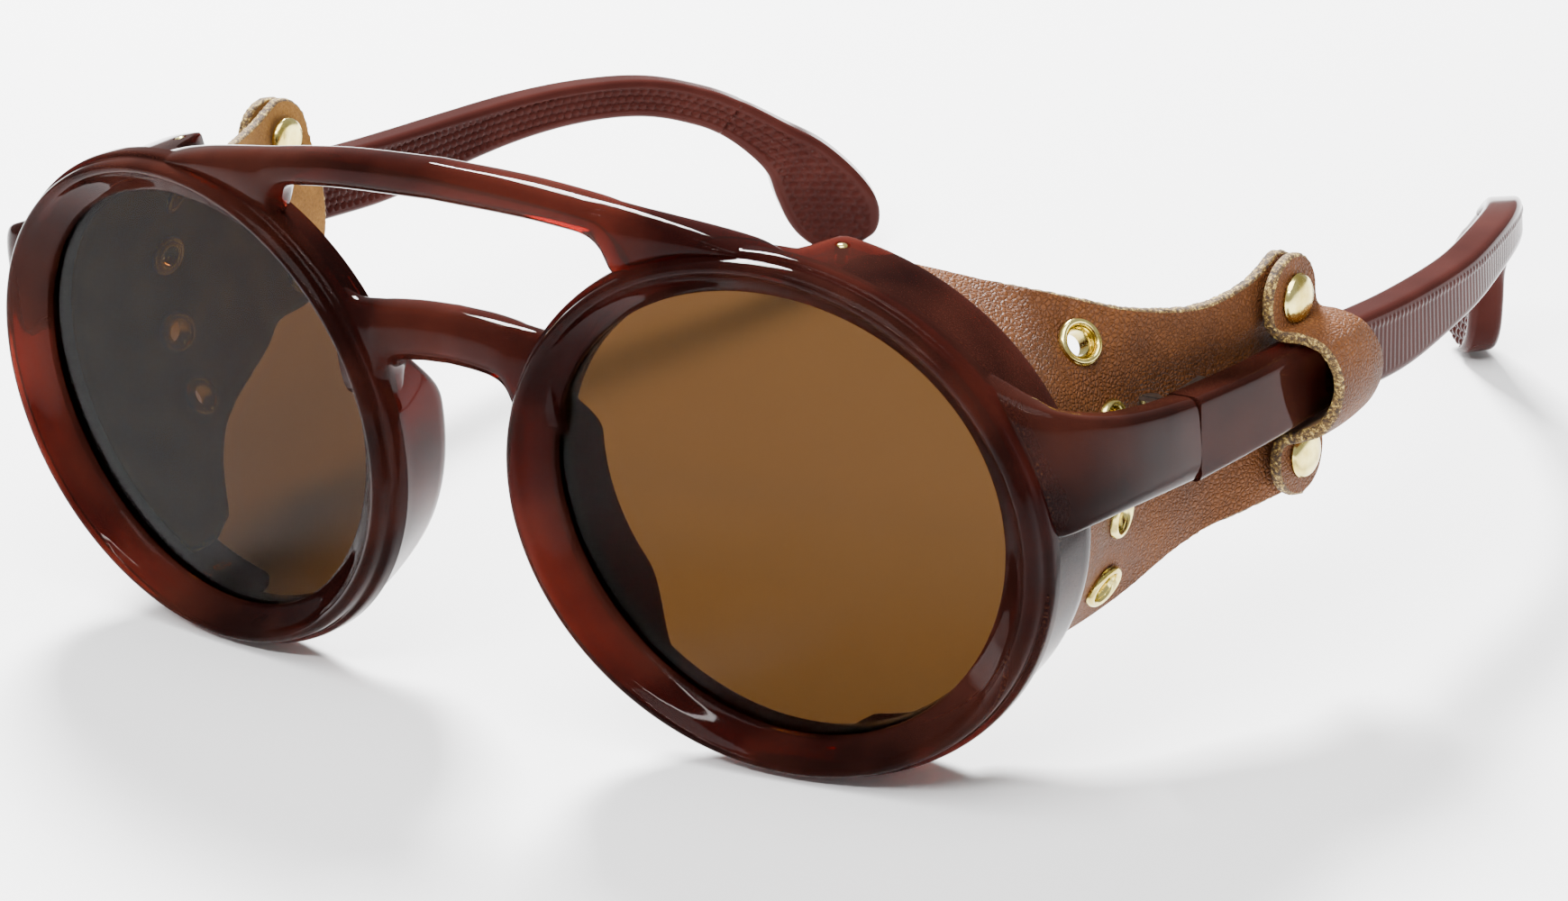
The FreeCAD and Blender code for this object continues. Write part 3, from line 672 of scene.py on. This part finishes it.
# How far the end piece's upper start is drawn back along the rim, and over which share of its way.
END_FLARE = 4.0
END_FLARE_SHARE = 0.3


def end_piece(side, tag, rows=60, count=48):
    rings = []
    for row in range(rows + 1):
        share = row / rows
        x, depth, level, half = through(END_PATH, share)
        along = heading(through(END_PATH, max(0.0, share - 0.01)), through(END_PATH, min(1.0, share + 0.01)))
        flare = END_FLARE * max(0.0, 1 - share / END_FLARE_SHARE) ** 2
        ring = []
        for a, b in superellipse(count, power=4.0):
            across = x + along.y * a * END_HALF_THICKNESS - flare * max(0.0, b) ** 2
            ring.append(place(side * across, depth - along.x * a * END_HALF_THICKNESS, level + b * half))
        rings.append(ring)
    return tube("end_piece_" + tag, rings)


PIN_DEPTH = 7.4
PIN_ANGLES = (78, -56)
PIN_HOLE_RADIUS = 0.8
PIN_HOLE_DEPTH = 3.0
PIN_HOLE_LENGTH = 5.0


def pin_axes(side):
    """Where each shield pin goes through the rim's deep wall, with the direction outwards."""
    axes = []
    for degrees in PIN_ANGLES:
        angle = math.radians(degrees)
        point = rim_point(side, RIM[0] * math.cos(angle), RIM[1] * math.sin(angle), PIN_DEPTH) / MM
        out = Vector((math.cos(angle) / RIM[0], 0, math.sin(angle) / RIM[1])).normalized()
        turned_out = Matrix.Rotation(WRAP, 3, "Z") @ out
        axes.append((point, Vector((side * turned_out.x, turned_out.y, turned_out.z))))
    return axes


def shield_pins(side, tag):
    """The pins, sunk a little below the wall."""
    profile = [(AXIS, -3.6), (0.5, -3.6), (0.6, -3.5), (0.6, -1.0), (0.45, -0.85), (AXIS, -0.8)]
    obj = turned("shield_pins_in_" + tag, [(point, out, profile) for point, out in pin_axes(side)], BRASS)
    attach(obj, "front")
    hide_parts("shield_pins_" + tag)


def front_frame():
    parts = [brow_bar(), nose_bridge()]
    pin_holes = []
    for side, tag in SIDES:
        parts.append(rim(side, tag))
        parts.append(end_piece(side, tag))
        for point, out in pin_axes(side):
            pin_holes.append(cylinder_tool("pin_hole_" + tag, point - out * PIN_HOLE_DEPTH, out,
                                           PIN_HOLE_RADIUS, PIN_HOLE_LENGTH))
    # the left rim takes the others in
    front = parts.pop(2)
    front = combine(front, parts, "UNION")
    front = combine(front, pin_holes, "DIFFERENCE")
    front.name = front.data.name = "front_moulding"
    front.data.materials.clear()
    front.data.materials.append(FRAME_PLASTIC)
    smooth(front, 32)
    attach(front, "front")
    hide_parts("front_frame")
    return front


# ---------------------------------------------------------------- temples

# Along a temple's side view: depth, level of the middle, half the height.
TEMPLE_STATIONS = [
    (27.1, 4.0, 4.6), (40, 2.9, 4.35), (55, 2.1, 4.2), (70, 0.4, 4.1), (85, -0.1, 3.3), (98, -0.4, 2.8),
    (108, -1.3, 2.6), (116, -2.9, 2.55), (122.7, -5.9, 2.5), (126.4, -8.6, 2.5), (129.7, -12.05, 2.8),
    (132.25, -15.4, 3.5), (133.9, -19.2, 4.3), (135.2, -22.8, 4.6), (136.1, -25.6, 4.1),
    (136.75, -27.7, 2.9), (137.05, -29.0, 1.0),
]
# The temple's outer face in plan: depth and x.
TEMPLE_PLAN = [
    (27.1, 75.7), (45, 76.2), (60, 76.3), (75, 76.0), (88, 75.0), (98, 73.0), (108, 70.0), (116, 66.4),
    (124, 61.4), (131, 55.4), (137.5, 49.0), (142, 44.0),
]
TEMPLE_THICKNESS = 4.4
TEMPLE_CORNER = 0.9
# Steps along the temple before the moulded pattern and in it.
PLAIN_STEP = 0.6
TEXTURE_STEP = 0.25
# Where the pattern starts along the temple, over what length it rises and how far it stays off the edges.
TEXTURE_START = 30.0
TEXTURE_FADE = 1.2
TEXTURE_BORDER = 0.95
# The studs on the inner face.
DOT_PITCH = 1.3
ROW_PITCH = 1.0
DOT_RADIUS = 0.52
DOT_HEIGHT = 0.32
# The ribs on the outer face and the row of beads along their top.
RIB_PITCH = 0.95
RIB_HEIGHT = 0.035
BEAD_HALF_WIDTH = 0.45
BEAD_HEIGHT = 0.16
# Beyond TIP_START along the temple, where half its height is under TIP_HALF, its thickness shrinks in step
# with that, down to a share.
TIP_START = 100
TIP_HALF = 3.0
TIP_THINNEST = 0.25


def temple_line():
    """Close points along the temple's middle: depth, level, half height, distance from the start."""
    keyed = by_distance(TEMPLE_STATIONS)
    length = keyed[-1][0]
    line, position = [], 0.0
    while position < length:
        line.append((*through(keyed, position), position))
        position += PLAIN_STEP if position < TEXTURE_START - 1 else TEXTURE_STEP
    line.append((*TEMPLE_STATIONS[-1], length))
    return line


# The stretches round a temple's section, with how many points each has.
OUTLINE = (("outer", 40), ("outer_top", 6), ("top", 4), ("inner_top", 6), ("inner", 40), ("inner_bottom", 6),
           ("bottom", 4), ("outer_bottom", 6))
# Each corner: whether it is on the inner face, up or down, and the angle it starts at.
CORNERS = {"outer_top": (0, 1, 0), "inner_top": (1, 1, 90), "inner_bottom": (1, -1, 180),
           "outer_bottom": (0, -1, 270)}


def temple_outline():
    """The section's points in turn, as the stretch and the share of the way along it."""
    return [(kind, (index + 0.5) / count) for kind, count in OUTLINE for index in range(count)]


def section_point(kind, share, half, thickness, corner):
    """(distance inwards from the outer face, height from the middle) of a section point."""
    flat = half - corner
    if kind == "outer":
        return 0.0, flat * (2 * share - 1)
    if kind == "inner":
        return thickness, flat * (1 - 2 * share)
    if kind == "top":
        return corner + (thickness - 2 * corner) * share, half
    if kind == "bottom":
        return thickness - corner - (thickness - 2 * corner) * share, -half
    inner, up, start = CORNERS[kind]
    turn = math.radians(start + 90 * share)
    centre_in = thickness - corner if inner else corner
    return centre_in - corner * math.cos(turn), flat * up + corner * math.sin(turn)


def moulded_pattern(kind, along, height, half):
    """How far the pattern stands out of the temple's face at a point."""
    fade = step(TEXTURE_START, TEXTURE_START + TEXTURE_FADE, along)
    room = half - abs(height) - TEXTURE_BORDER
    if fade == 0.0 or kind not in ("outer", "inner"):
        return 0.0
    inside = step(0.0, 0.35, room)
    if kind == "inner":
        # rounded studs, every second row set half a pitch along
        row = round(height / ROW_PITCH)
        offset = along + (row % 2) * DOT_PITCH / 2
        from_stud = math.hypot(offset - round(offset / DOT_PITCH) * DOT_PITCH, height - row * ROW_PITCH)
        stud = math.sqrt(max(0.0, 1 - (from_stud / DOT_RADIUS) ** 2))
        return fade * inside * DOT_HEIGHT * (stud - 1.0)
    bead_line = half - TEXTURE_BORDER - BEAD_HALF_WIDTH
    bead = max(0.0, 1 - ((height - bead_line) / BEAD_HALF_WIDTH) ** 2)
    beads = bead * abs(math.cos(math.pi * along / RIB_PITCH)) * BEAD_HEIGHT
    ribs = RIB_HEIGHT * math.cos(2 * math.pi * along / RIB_PITCH) * (1 - bead)
    return fade * (inside * ribs + step(-0.5, 0.2, room) * beads)


def temple(side, tag):
    outline = temple_outline()
    line = temple_line()
    rings = []
    for index, (depth, level, half, along) in enumerate(line):
        direction = heading(line[max(index - 1, 0)], line[min(index + 1, len(line) - 1)])
        corner = min(TEMPLE_CORNER, half * 0.8)
        thinning = min(1.0, max(TIP_THINNEST, half / TIP_HALF)) if along > TIP_START else 1.0
        ring = []
        for kind, share in outline:
            inwards, height = section_point(kind, share, half, TEMPLE_THICKNESS, corner)
            stand_out = moulded_pattern(kind, along, height, half)
            inwards = TEMPLE_THICKNESS / 2 + (inwards - TEMPLE_THICKNESS / 2) * thinning
            inwards += stand_out if kind == "inner" else -stand_out
            at_depth = depth - direction.y * height
            at_level = level + direction.x * height
            plan_x = through(TEMPLE_PLAN, at_depth)
            slope = (through(TEMPLE_PLAN, at_depth + 0.5) - plan_x) / 0.5
            length = math.hypot(1.0, slope)
            x = plan_x - inwards / length
            ring.append(place(side * x, at_depth + inwards * slope / length, at_level))
        rings.append(ring)
    obj = tube("temple_arm_" + tag, rings, TEMPLE_PLASTIC)
    # the stretch before the pattern is as glossy as the front
    obj.data.materials.append(FRAME_PLASTIC)
    glossy_points = sum(1 for *_, along in line if along < TEXTURE_START) * len(outline)
    for polygon in obj.data.polygons:
        polygon.material_index = 1 if min(polygon.vertices) < glossy_points else 0
    smooth(obj, 50)
    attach(obj, "temple_" + tag)
    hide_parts("temple_" + tag)
    return obj


# ---------------------------------------------------------------- leather

LEATHER = 1.35
EDGE_ROUND = 0.3
FUZZ = 0.14
# The cut edge's rows of points: share of the thickness, and how far they bulge.
EDGE_ROWS = ((0.12, 0.75), (0.32, 1.0), (0.5, 1.05), (0.68, 1.0), (0.88, 0.75))
# The leather's materials in their slots.
GRAIN_SLOT, SUEDE_SLOT, EDGE_SLOT = 0, 1, 2


def sheet_normals(points, flip):
    """The unit normal at each point of a grid."""
    last_row, last_column = len(points) - 1, len(points[0]) - 1
    normals = []
    for r in range(last_row + 1):
        row = []
        for c in range(last_column + 1):
            du = points[min(r + 1, last_row)][c] - points[max(r - 1, 0)][c]
            dv = points[r][min(c + 1, last_column)] - points[r][max(c - 1, 0)]
            normal = du.cross(dv)
            row.append((normal if not flip else -normal).normalized())
        normals.append(row)
    return normals


def leather_sheet(name, surface, rows, columns, flip=False):
    """A sheet with thickness and rough rounded edges. surface(u, v) gives a point in millimetres."""
    points = []
    for r in range(rows):
        points.append([Vector(surface(r / (rows - 1), c / (columns - 1))) for c in range(columns)])
    normals = sheet_normals(points, flip)
    count = rows * columns
    vertices = [point for row in points for point in row]
    for point_row, normal_row in zip(points, normals):
        vertices += [point - normal * LEATHER for point, normal in zip(point_row, normal_row)]
    faces, slots = [], []
    for r in range(rows - 1):
        for c in range(columns - 1):
            quad = (r * columns + c, r * columns + c + 1, (r + 1) * columns + c + 1, (r + 1) * columns + c)
            faces += [quad, tuple(reversed([index + count for index in quad]))]
            slots += [GRAIN_SLOT, SUEDE_SLOT]
    border = [(0, c) for c in range(columns)] + [(r, columns - 1) for r in range(1, rows)]
    border += [(rows - 1, c) for c in range(columns - 2, -1, -1)] + [(r, 0) for r in range(rows - 2, 0, -1)]
    size = len(border)
    outer_ring = [r * columns + c for r, c in border]
    loops = [outer_ring]
    for share, bulge in EDGE_ROWS:
        loops.append(range(len(vertices), len(vertices) + size))
        for index, (r, c) in enumerate(border):
            before, after = border[index - 1], border[(index + 1) % size]
            along = points[after[0]][after[1]] - points[before[0]][before[1]]
            out = along.cross(normals[r][c]).normalized()
            inside_r = min(max(r, 1), rows - 2)
            inside_c = min(max(c, 1), columns - 2)
            if out.dot(points[r][c] - points[inside_r][inside_c]) < 0:
                out = -out
            base = points[r][c] - normals[r][c] * LEATHER * share
            rough = noise.noise(base * 2.1) + 0.7 * noise.noise(base * 5.3)
            vertices.append(base + out * (EDGE_ROUND * bulge + FUZZ * rough))
    loops.append([index + count for index in outer_ring])
    for upper, lower in zip(loops, loops[1:]):
        for index in range(size):
            following = (index + 1) % size
            faces.append((upper[index], lower[index], lower[following], upper[following]))
            slots.append(EDGE_SLOT)
    obj = make_object(name, [vertex * MM for vertex in vertices], faces)
    for material in (GRAIN, SUEDE, RAW_EDGE):
        obj.data.materials.append(material)
    obj.data.polygons.foreach_set("material_index", slots)
    outward(obj)
    return smooth(obj, 70)


def sheet_area(surface, steps=60):
    """The flat area of a sheet in square metres, summed over its outer surface."""
    total = 0.0
    for r in range(steps):
        for c in range(steps):
            corner = surface(r / steps, c / steps)
            along = surface((r + 1) / steps, c / steps) - corner
            across = surface(r / steps, (c + 1) / steps) - corner
            total += along.cross(across).length
    return total * MM * MM


# The radii of the oval that the leather follows inside the rim.
TUBE = (30.1, 27.0)
# x of the leather's outer surface against level, bottom to top, at each depth behind the rim.
SHIELD_SECTIONS = {
    29: [(-18, 64.4), (-11.5, 66.0), (-6, 66.8), (-1, 67.2), (4, 67.4), (8, 67.3), (12, 67.0), (16, 66.6),
         (20, 66.0)],
    38: [(-15, 67.2), (-9.5, 68.4), (-5, 69.0), (-1, 69.2), (3.5, 69.3), (7, 69.35), (10, 69.6), (14, 69.8),
         (18, 70.0)],
    44: [(-13, 71.0), (-8, 71.1), (-4.5, 70.9), (-1, 70.3), (3.0, 70.1), (7, 70.4), (10, 71.2), (15, 71.4),
         (19, 71.4)],
    49: [(-13, 72.0), (-7.5, 72.0), (-4.4, 71.8), (-1.6, 71.0), (2.8, 70.6), (7.1, 71.0), (9.9, 71.9),
         (15, 72.0), (19, 72.0)],
}
# Level of the shield's edges against depth.
SHIELD_TOP = [(5, 26.1), (9.5, 25.9), (13.2, 24.6), (22, 20.1), (29.1, 16.3), (38, 13.8), (45, 14.3),
              (50, 15.9)]
SHIELD_BOTTOM = [(5, -24.4), (10, -24.2), (14, -23), (22, -18), (35.4, -12.8), (43, -10.9), (50, -10.9)]
TAB_RADIUS = 4.5
RIVET_DEPTH = 50.0
# Depth and level of each rivet.
RIVETS = ((RIVET_DEPTH, 11.4), (RIVET_DEPTH, -6.4))
RIVET_HOLES_X = 60
SHIELD_START = 5.2
# The share of the shield's length where its tab starts to round off, and how much of the half circle is left.
TAB_START = 0.88
TAB_ROUNDING = 0.97
# How far the shield's start is set back at the temple side, as the rim is.
SHIELD_SLANT = 3.1
RIPPLE = 0.55
EYELET_HOLE = 1.84


def tube_x(depth, level):
    """x on the oval inside the rim."""
    up = max(-0.985, min(0.985, level / TUBE[1]))
    across = TUBE[0] * math.sqrt(1 - up * up)
    back = (depth - across * math.sin(WRAP)) / math.cos(WRAP)
    return LENS_X + across * math.cos(WRAP) - back * math.sin(WRAP)


def leather_x(depth, level):
    """The leather's outer surface: an oval tube in the rim, easing out to the temple."""
    if depth <= 14:
        return tube_x(depth, level)
    keys = [(10, tube_x(10, level)), (20, tube_x(20, level))]
    keys += [(at, through(section, level)) for at, section in SHIELD_SECTIONS.items()]
    keys.append((58, keys[-1][1]))
    return through(keys, depth)


def shield_surface(side):
    """The shield's outer surface: u goes back from the rim to the tab, v from the bottom to the top."""
    def surface(u, v):
        nominal = SHIELD_START + (RIVET_DEPTH - SHIELD_START) * min(1.0, u / TAB_START)
        round_end = max(0.0, (u - TAB_START) / (1 - TAB_START))
        depth = nominal + TAB_RADIUS * math.sin(round_end * math.pi / 2 * TAB_ROUNDING)
        shrink = TAB_RADIUS * (1 - math.cos(round_end * math.pi / 2 * TAB_ROUNDING))
        top = through(SHIELD_TOP, nominal) - shrink
        bottom = through(SHIELD_BOTTOM, nominal) + shrink
        level = bottom + (top - bottom) * v
        slant = SHIELD_SLANT * math.sqrt(max(0.0, 1 - (level / TUBE[1]) ** 2))
        depth += slant * (1 - step(5.0, 20.0, depth))
        x = leather_x(depth, level)
        free = step(14, 26, depth) * (1 - step(40, 47, depth))
        ripple = noise.noise(Vector((depth * 0.09, level * 0.12, 4.0 * side)))
        return in_frame(side * (x + RIPPLE * ripple * free), depth, level)
    return surface


EYELET_DEPTH = 20.3
EYELET_ANGLES = (33, 13, -9, -28)


def eyelet_axes(side):
    """Each eyelet's middle on the leather's outer surface and its outward direction."""
    axes = []
    for degrees in EYELET_ANGLES:
        angle = math.radians(degrees)
        across, up = TUBE[0] * math.cos(angle), TUBE[1] * math.sin(angle)
        point = rim_point(side, across, up, EYELET_DEPTH) / MM
        depth, level = point.y - FRONT_Y, point.z - LENS_Z
        along = (leather_x(depth + 2, level) - leather_x(depth - 2, level)) / 4
        upward = (leather_x(depth, level + 2) - leather_x(depth, level - 2)) / 4
        out = Vector((side, -along, -upward)).normalized()
        axes.append((in_frame(side * leather_x(depth, level), depth, level), out))
    return axes


def rivet_holes(side, radius, length):
    """Tools for the rivets' holes, from inside the leather outwards."""
    tools = []
    for depth, level in RIVETS:
        start = in_frame(side * RIVET_HOLES_X, depth, level)
        tools.append(cylinder_tool("rivet_hole", start, Vector((side, 0, 0)), radius, length))
    return tools


def shield_area(side):
    return sheet_area(shield_surface(side))


def side_shield(side, tag):
    obj = leather_sheet("side_shield_leather_" + tag, shield_surface(side), 190, 100, flip=side < 0)
    tools = []
    for point, out in eyelet_axes(side):
        tools.append(cylinder_tool("eyelet_hole", point - out * 5, out, EYELET_HOLE, 10))
    combine(obj, tools + rivet_holes(side, radius=1.25, length=20), "DIFFERENCE")
    smooth(obj, 70)
    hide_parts("side_shield_" + tag)
    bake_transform(obj)
    shield_area(side)
    return obj


# The strap's middle line in front view, from the upper tab over the temple to the lower tab.
STRAP_X = 73.3
STRAP_LINE = [
    (0.0, 15.9), (0.0, 12.4), (0.0, 9.3), (0.8, 8.3), (2.8, 8.0), (5.0, 6.9), (6.1, 4.6), (6.3, 2.2),
    (5.6, -0.4), (4.1, -2.5), (2.0, -3.3), (0.5, -3.7), (0.0, -4.7), (0.0, -7.0), (0.0, -10.9),
]
STRAP_FRONT = [(0.0, 45.5), (0.16, 45.6), (0.3, 47.3), (0.5, 48.7), (0.68, 47.8), (0.84, 45.6), (1.0, 45.5)]
STRAP_BACK = [(0.0, 54.5), (0.16, 54.5), (0.3, 55.3), (0.5, 57.2), (0.68, 56.2), (0.84, 54.5), (1.0, 54.5)]


def strap_surface(side):
    """The strap's outer surface: u goes from its upper end to its lower one, v from front to back."""
    keyed = by_distance(STRAP_LINE)
    total = keyed[-1][0]

    def surface(u, v):
        # the ends are half discs round the rivets
        position = u * total
        to_end = min(position, total - position)
        front, back = through(STRAP_FRONT, u), through(STRAP_BACK, u)
        middle, half = (front + back) / 2, (back - front) / 2
        if to_end < TAB_RADIUS:
            half = min(half, math.sqrt(max(0.02, TAB_RADIUS ** 2 - (TAB_RADIUS - to_end) ** 2)))
        x, level = through(keyed, position)
        along = heading(through(keyed, max(0.0, position - 0.3)), through(keyed, min(total, position + 0.3)))
        depth = middle + half * (2 * v - 1)
        crown = 0.25 * math.sin(math.pi * u) * (1 - (2 * v - 1) ** 2)
        out = LEATHER / 2 + crown
        return in_frame(side * (STRAP_X + x - along.y * out), depth, level + along.x * out)
    return surface


def strap_area(side):
    return sheet_area(strap_surface(side))


def strap_loop(side, tag):
    obj = leather_sheet("strap_loop_leather_" + tag, strap_surface(side), 150, 40, flip=side < 0)
    combine(obj, rivet_holes(side, radius=1.05, length=14.6), "DIFFERENCE")
    smooth(obj, 70)
    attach(obj, "temple_" + tag)
    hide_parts("strap_loop_" + tag)
    strap_area(side)
    return obj


# ---------------------------------------------------------------- brass

def rounded_ring(inner, outer, low, high, steps=10):
    """A closed profile of a rolled ring."""
    middle, half = (inner + outer) / 2, (outer - inner) / 2
    profile = []
    for index in range(steps + 1):
        angle = math.pi * index / steps
        profile.append((middle + half * math.cos(angle), low + (high - low) * math.sin(angle)))
    return profile


EYELET_FLANGE = 2.6
EYELET_BORE = 1.35
EYELET_BARREL = 1.75
WASHER_RADIUS = 2.55
WASHER_HEIGHT = 0.5


def eyelet_profile():
    """The rolled flange, the funnel into the bore and the barrel's outside."""
    flange = rounded_ring(1.72, EYELET_FLANGE, 0.05, 0.72)
    funnel = [(1.62, 0.30), (1.48, 0.05), (EYELET_BORE + 0.03, -0.3), (EYELET_BORE, -0.8),
              (EYELET_BORE, -LEATHER - 0.78)]
    barrel = [(EYELET_BARREL - 0.12, -LEATHER - 0.8), (EYELET_BARREL, -LEATHER - 0.6), (EYELET_BARREL, 0.05)]
    return flange + funnel + barrel


def eyelets(side, tag):
    axes = eyelet_axes(side)
    obj = turned("eyelet_rings_" + tag, [(point, out, eyelet_profile()) for point, out in axes], BRASS)
    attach(obj, "front")
    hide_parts("eyelets_" + tag)
    backs = []
    for point, out in axes:
        washer = rounded_ring(EYELET_BARREL + 0.02, WASHER_RADIUS, 0.0, WASHER_HEIGHT)
        backs.append((point - out * (LEATHER + 0.2), -out, washer))
    washers = turned("eyelet_backs_" + tag, backs, BRASS)
    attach(washers, "front")
    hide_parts("eyelet_washers_" + tag)


CAP_RADIUS = 2.75
CAP_HEIGHT = 1.4
POST_RADIUS = 1.0
# x of the rivets' inner heads, against the shield's inside.
HEAD_X = 70.2


def dome(radius, height, base, steps=12):
    """The closed profile of a domed cap with a rolled rim."""
    profile = [(AXIS, base), (radius - 0.25, base), (radius - 0.05, base + 0.12), (radius, base + 0.32)]
    for index in range(steps + 1):
        angle = math.pi / 2 * index / steps
        r = (radius - 0.12) * math.cos(angle)
        profile.append((max(r, AXIS), base + 0.5 + (height - 0.5) * math.sin(angle)))
    return profile


def rivets(side, tag):
    out = Vector((side, 0, 0))
    cap_base = STRAP_X + LEATHER / 2 + 0.03
    post = cap_base - HEAD_X
    stud = [(AXIS, -1.0), (1.6, -1.0), (2.2, -0.85), (2.5, -0.55), (2.6, -0.2), (2.5, 0.0),
            (POST_RADIUS, 0.0), (POST_RADIUS, post), (AXIS, post)]
    cap = dome(CAP_RADIUS, CAP_HEIGHT, 0.0)
    caps = [(in_frame(side * cap_base, depth, level), out, cap) for depth, level in RIVETS]
    posts = [(in_frame(side * HEAD_X, depth, level), out, stud) for depth, level in RIVETS]
    pieces = (("rivet_domes_", caps, "rivet_caps_"), ("rivet_studs_", posts, "rivet_posts_"))
    for name, profiles, node in pieces:
        obj = turned(name + tag, profiles, BRASS)
        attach(obj, "temple_" + tag)
        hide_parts(node + tag)


def paint_kept_nodes():
    """Finishes for the CAD nodes that stay as they are."""
    kept = {"lens_": LENS_TINT, "hinge_front_leaf_": STEEL, "hinge_temple_leaf_": STEEL,
            "hinge_screw_": STEEL}
    for _, tag in SIDES:
        for stem, material in kept.items():
            node = frame["nodes"][stem + tag]
            for slot in node.material_slots:
                slot.material = material
            if not node.material_slots:
                node.data.materials.append(material)


# ---------------------------------------------------------------- stage

FLOOR_SIZE = 6.0
# The floor lies just below the part, so that nothing shares its plane.
FLOOR_GAP = 0.0002
WORLD_STRENGTH = 0.5


def studio():
    floor = Finish("floor")
    floor.set(Base_Color=(0.9, 0.9, 0.905, 1), Roughness=0.6, Specular_IOR_Level=0.2)
    half = FLOOR_SIZE / 2
    ground = make_object("floor", [(-half, -half, 0), (half, -half, 0), (half, half, 0), (-half, half, 0)],
                         [(0, 1, 2, 3)], floor.material)
    ground.location.z = CAD_BOX[0][2] - FLOOR_GAP
    world = bpy.data.worlds.new("studio")
    bpy.context.scene.world = world
    world.use_nodes = True
    background = world.node_tree.nodes["Background"]
    background.inputs["Color"].default_value = (*WHITE, 1)
    background.inputs["Strength"].default_value = WORLD_STRENGTH


def soft_light(name, position, target, width, height, power):
    """A rectangular light. Its position, target, width and height are in metres, its power in watts."""
    light = bpy.data.lights.new(name, "AREA")
    light.shape = "RECTANGLE"
    light.size, light.size_y = width, height
    light.energy = power
    obj = bpy.data.objects.new(name, light)
    bpy.context.scene.collection.objects.link(obj)
    obj.location = position
    obj.rotation_euler = (Vector(target) - Vector(position)).to_track_quat("-Z", "Y").to_euler()


def lights():
    middle = (0.0, 0.0, 0.03)
    soft_light("key", (-0.5, 0.5, 0.75), middle, 0.26, 0.26, 58.0)
    soft_light("front_strip", (0.1, -0.8, 0.8), middle, 0.8, 0.035, 10.0)
    soft_light("top", (0.25, -0.3, 1.1), middle, 0.9, 0.9, 24.0)


# Where the camera stands about the lens centres, its directions to the right and of view, and its lens.
CAMERA_AT = (305.9, -338.5, 183.8)
CAMERA_RIGHT = Vector((0.80758, 0.58322, -0.08752))
CAMERA_VIEW = Vector((-0.56831, 0.72995, -0.37972))
CAMERA_LENS = 103.77
SENSOR_WIDTH = 36.0


def camera():
    data = bpy.data.cameras.new("camera")
    data.lens = CAMERA_LENS
    data.sensor_width = SENSOR_WIDTH
    data.clip_start = 0.01
    obj = bpy.data.objects.new("camera", data)
    bpy.context.scene.collection.objects.link(obj)
    back = -CAMERA_VIEW.normalized()
    right = CAMERA_RIGHT.normalized()
    up = back.cross(right)
    turn = Matrix((right, up, back)).transposed()
    obj.matrix_world = Matrix.Translation(place(*CAMERA_AT)) @ turn.to_4x4()
    bpy.context.scene.camera = obj


camera()
studio()
lights()
paint_kept_nodes()
front_frame()
for each_side, each_tag in SIDES:
    temple(each_side, each_tag)
    side_shield(each_side, each_tag)
    strap_loop(each_side, each_tag)
    eyelets(each_side, each_tag)
    rivets(each_side, each_tag)
    shield_pins(each_side, each_tag)
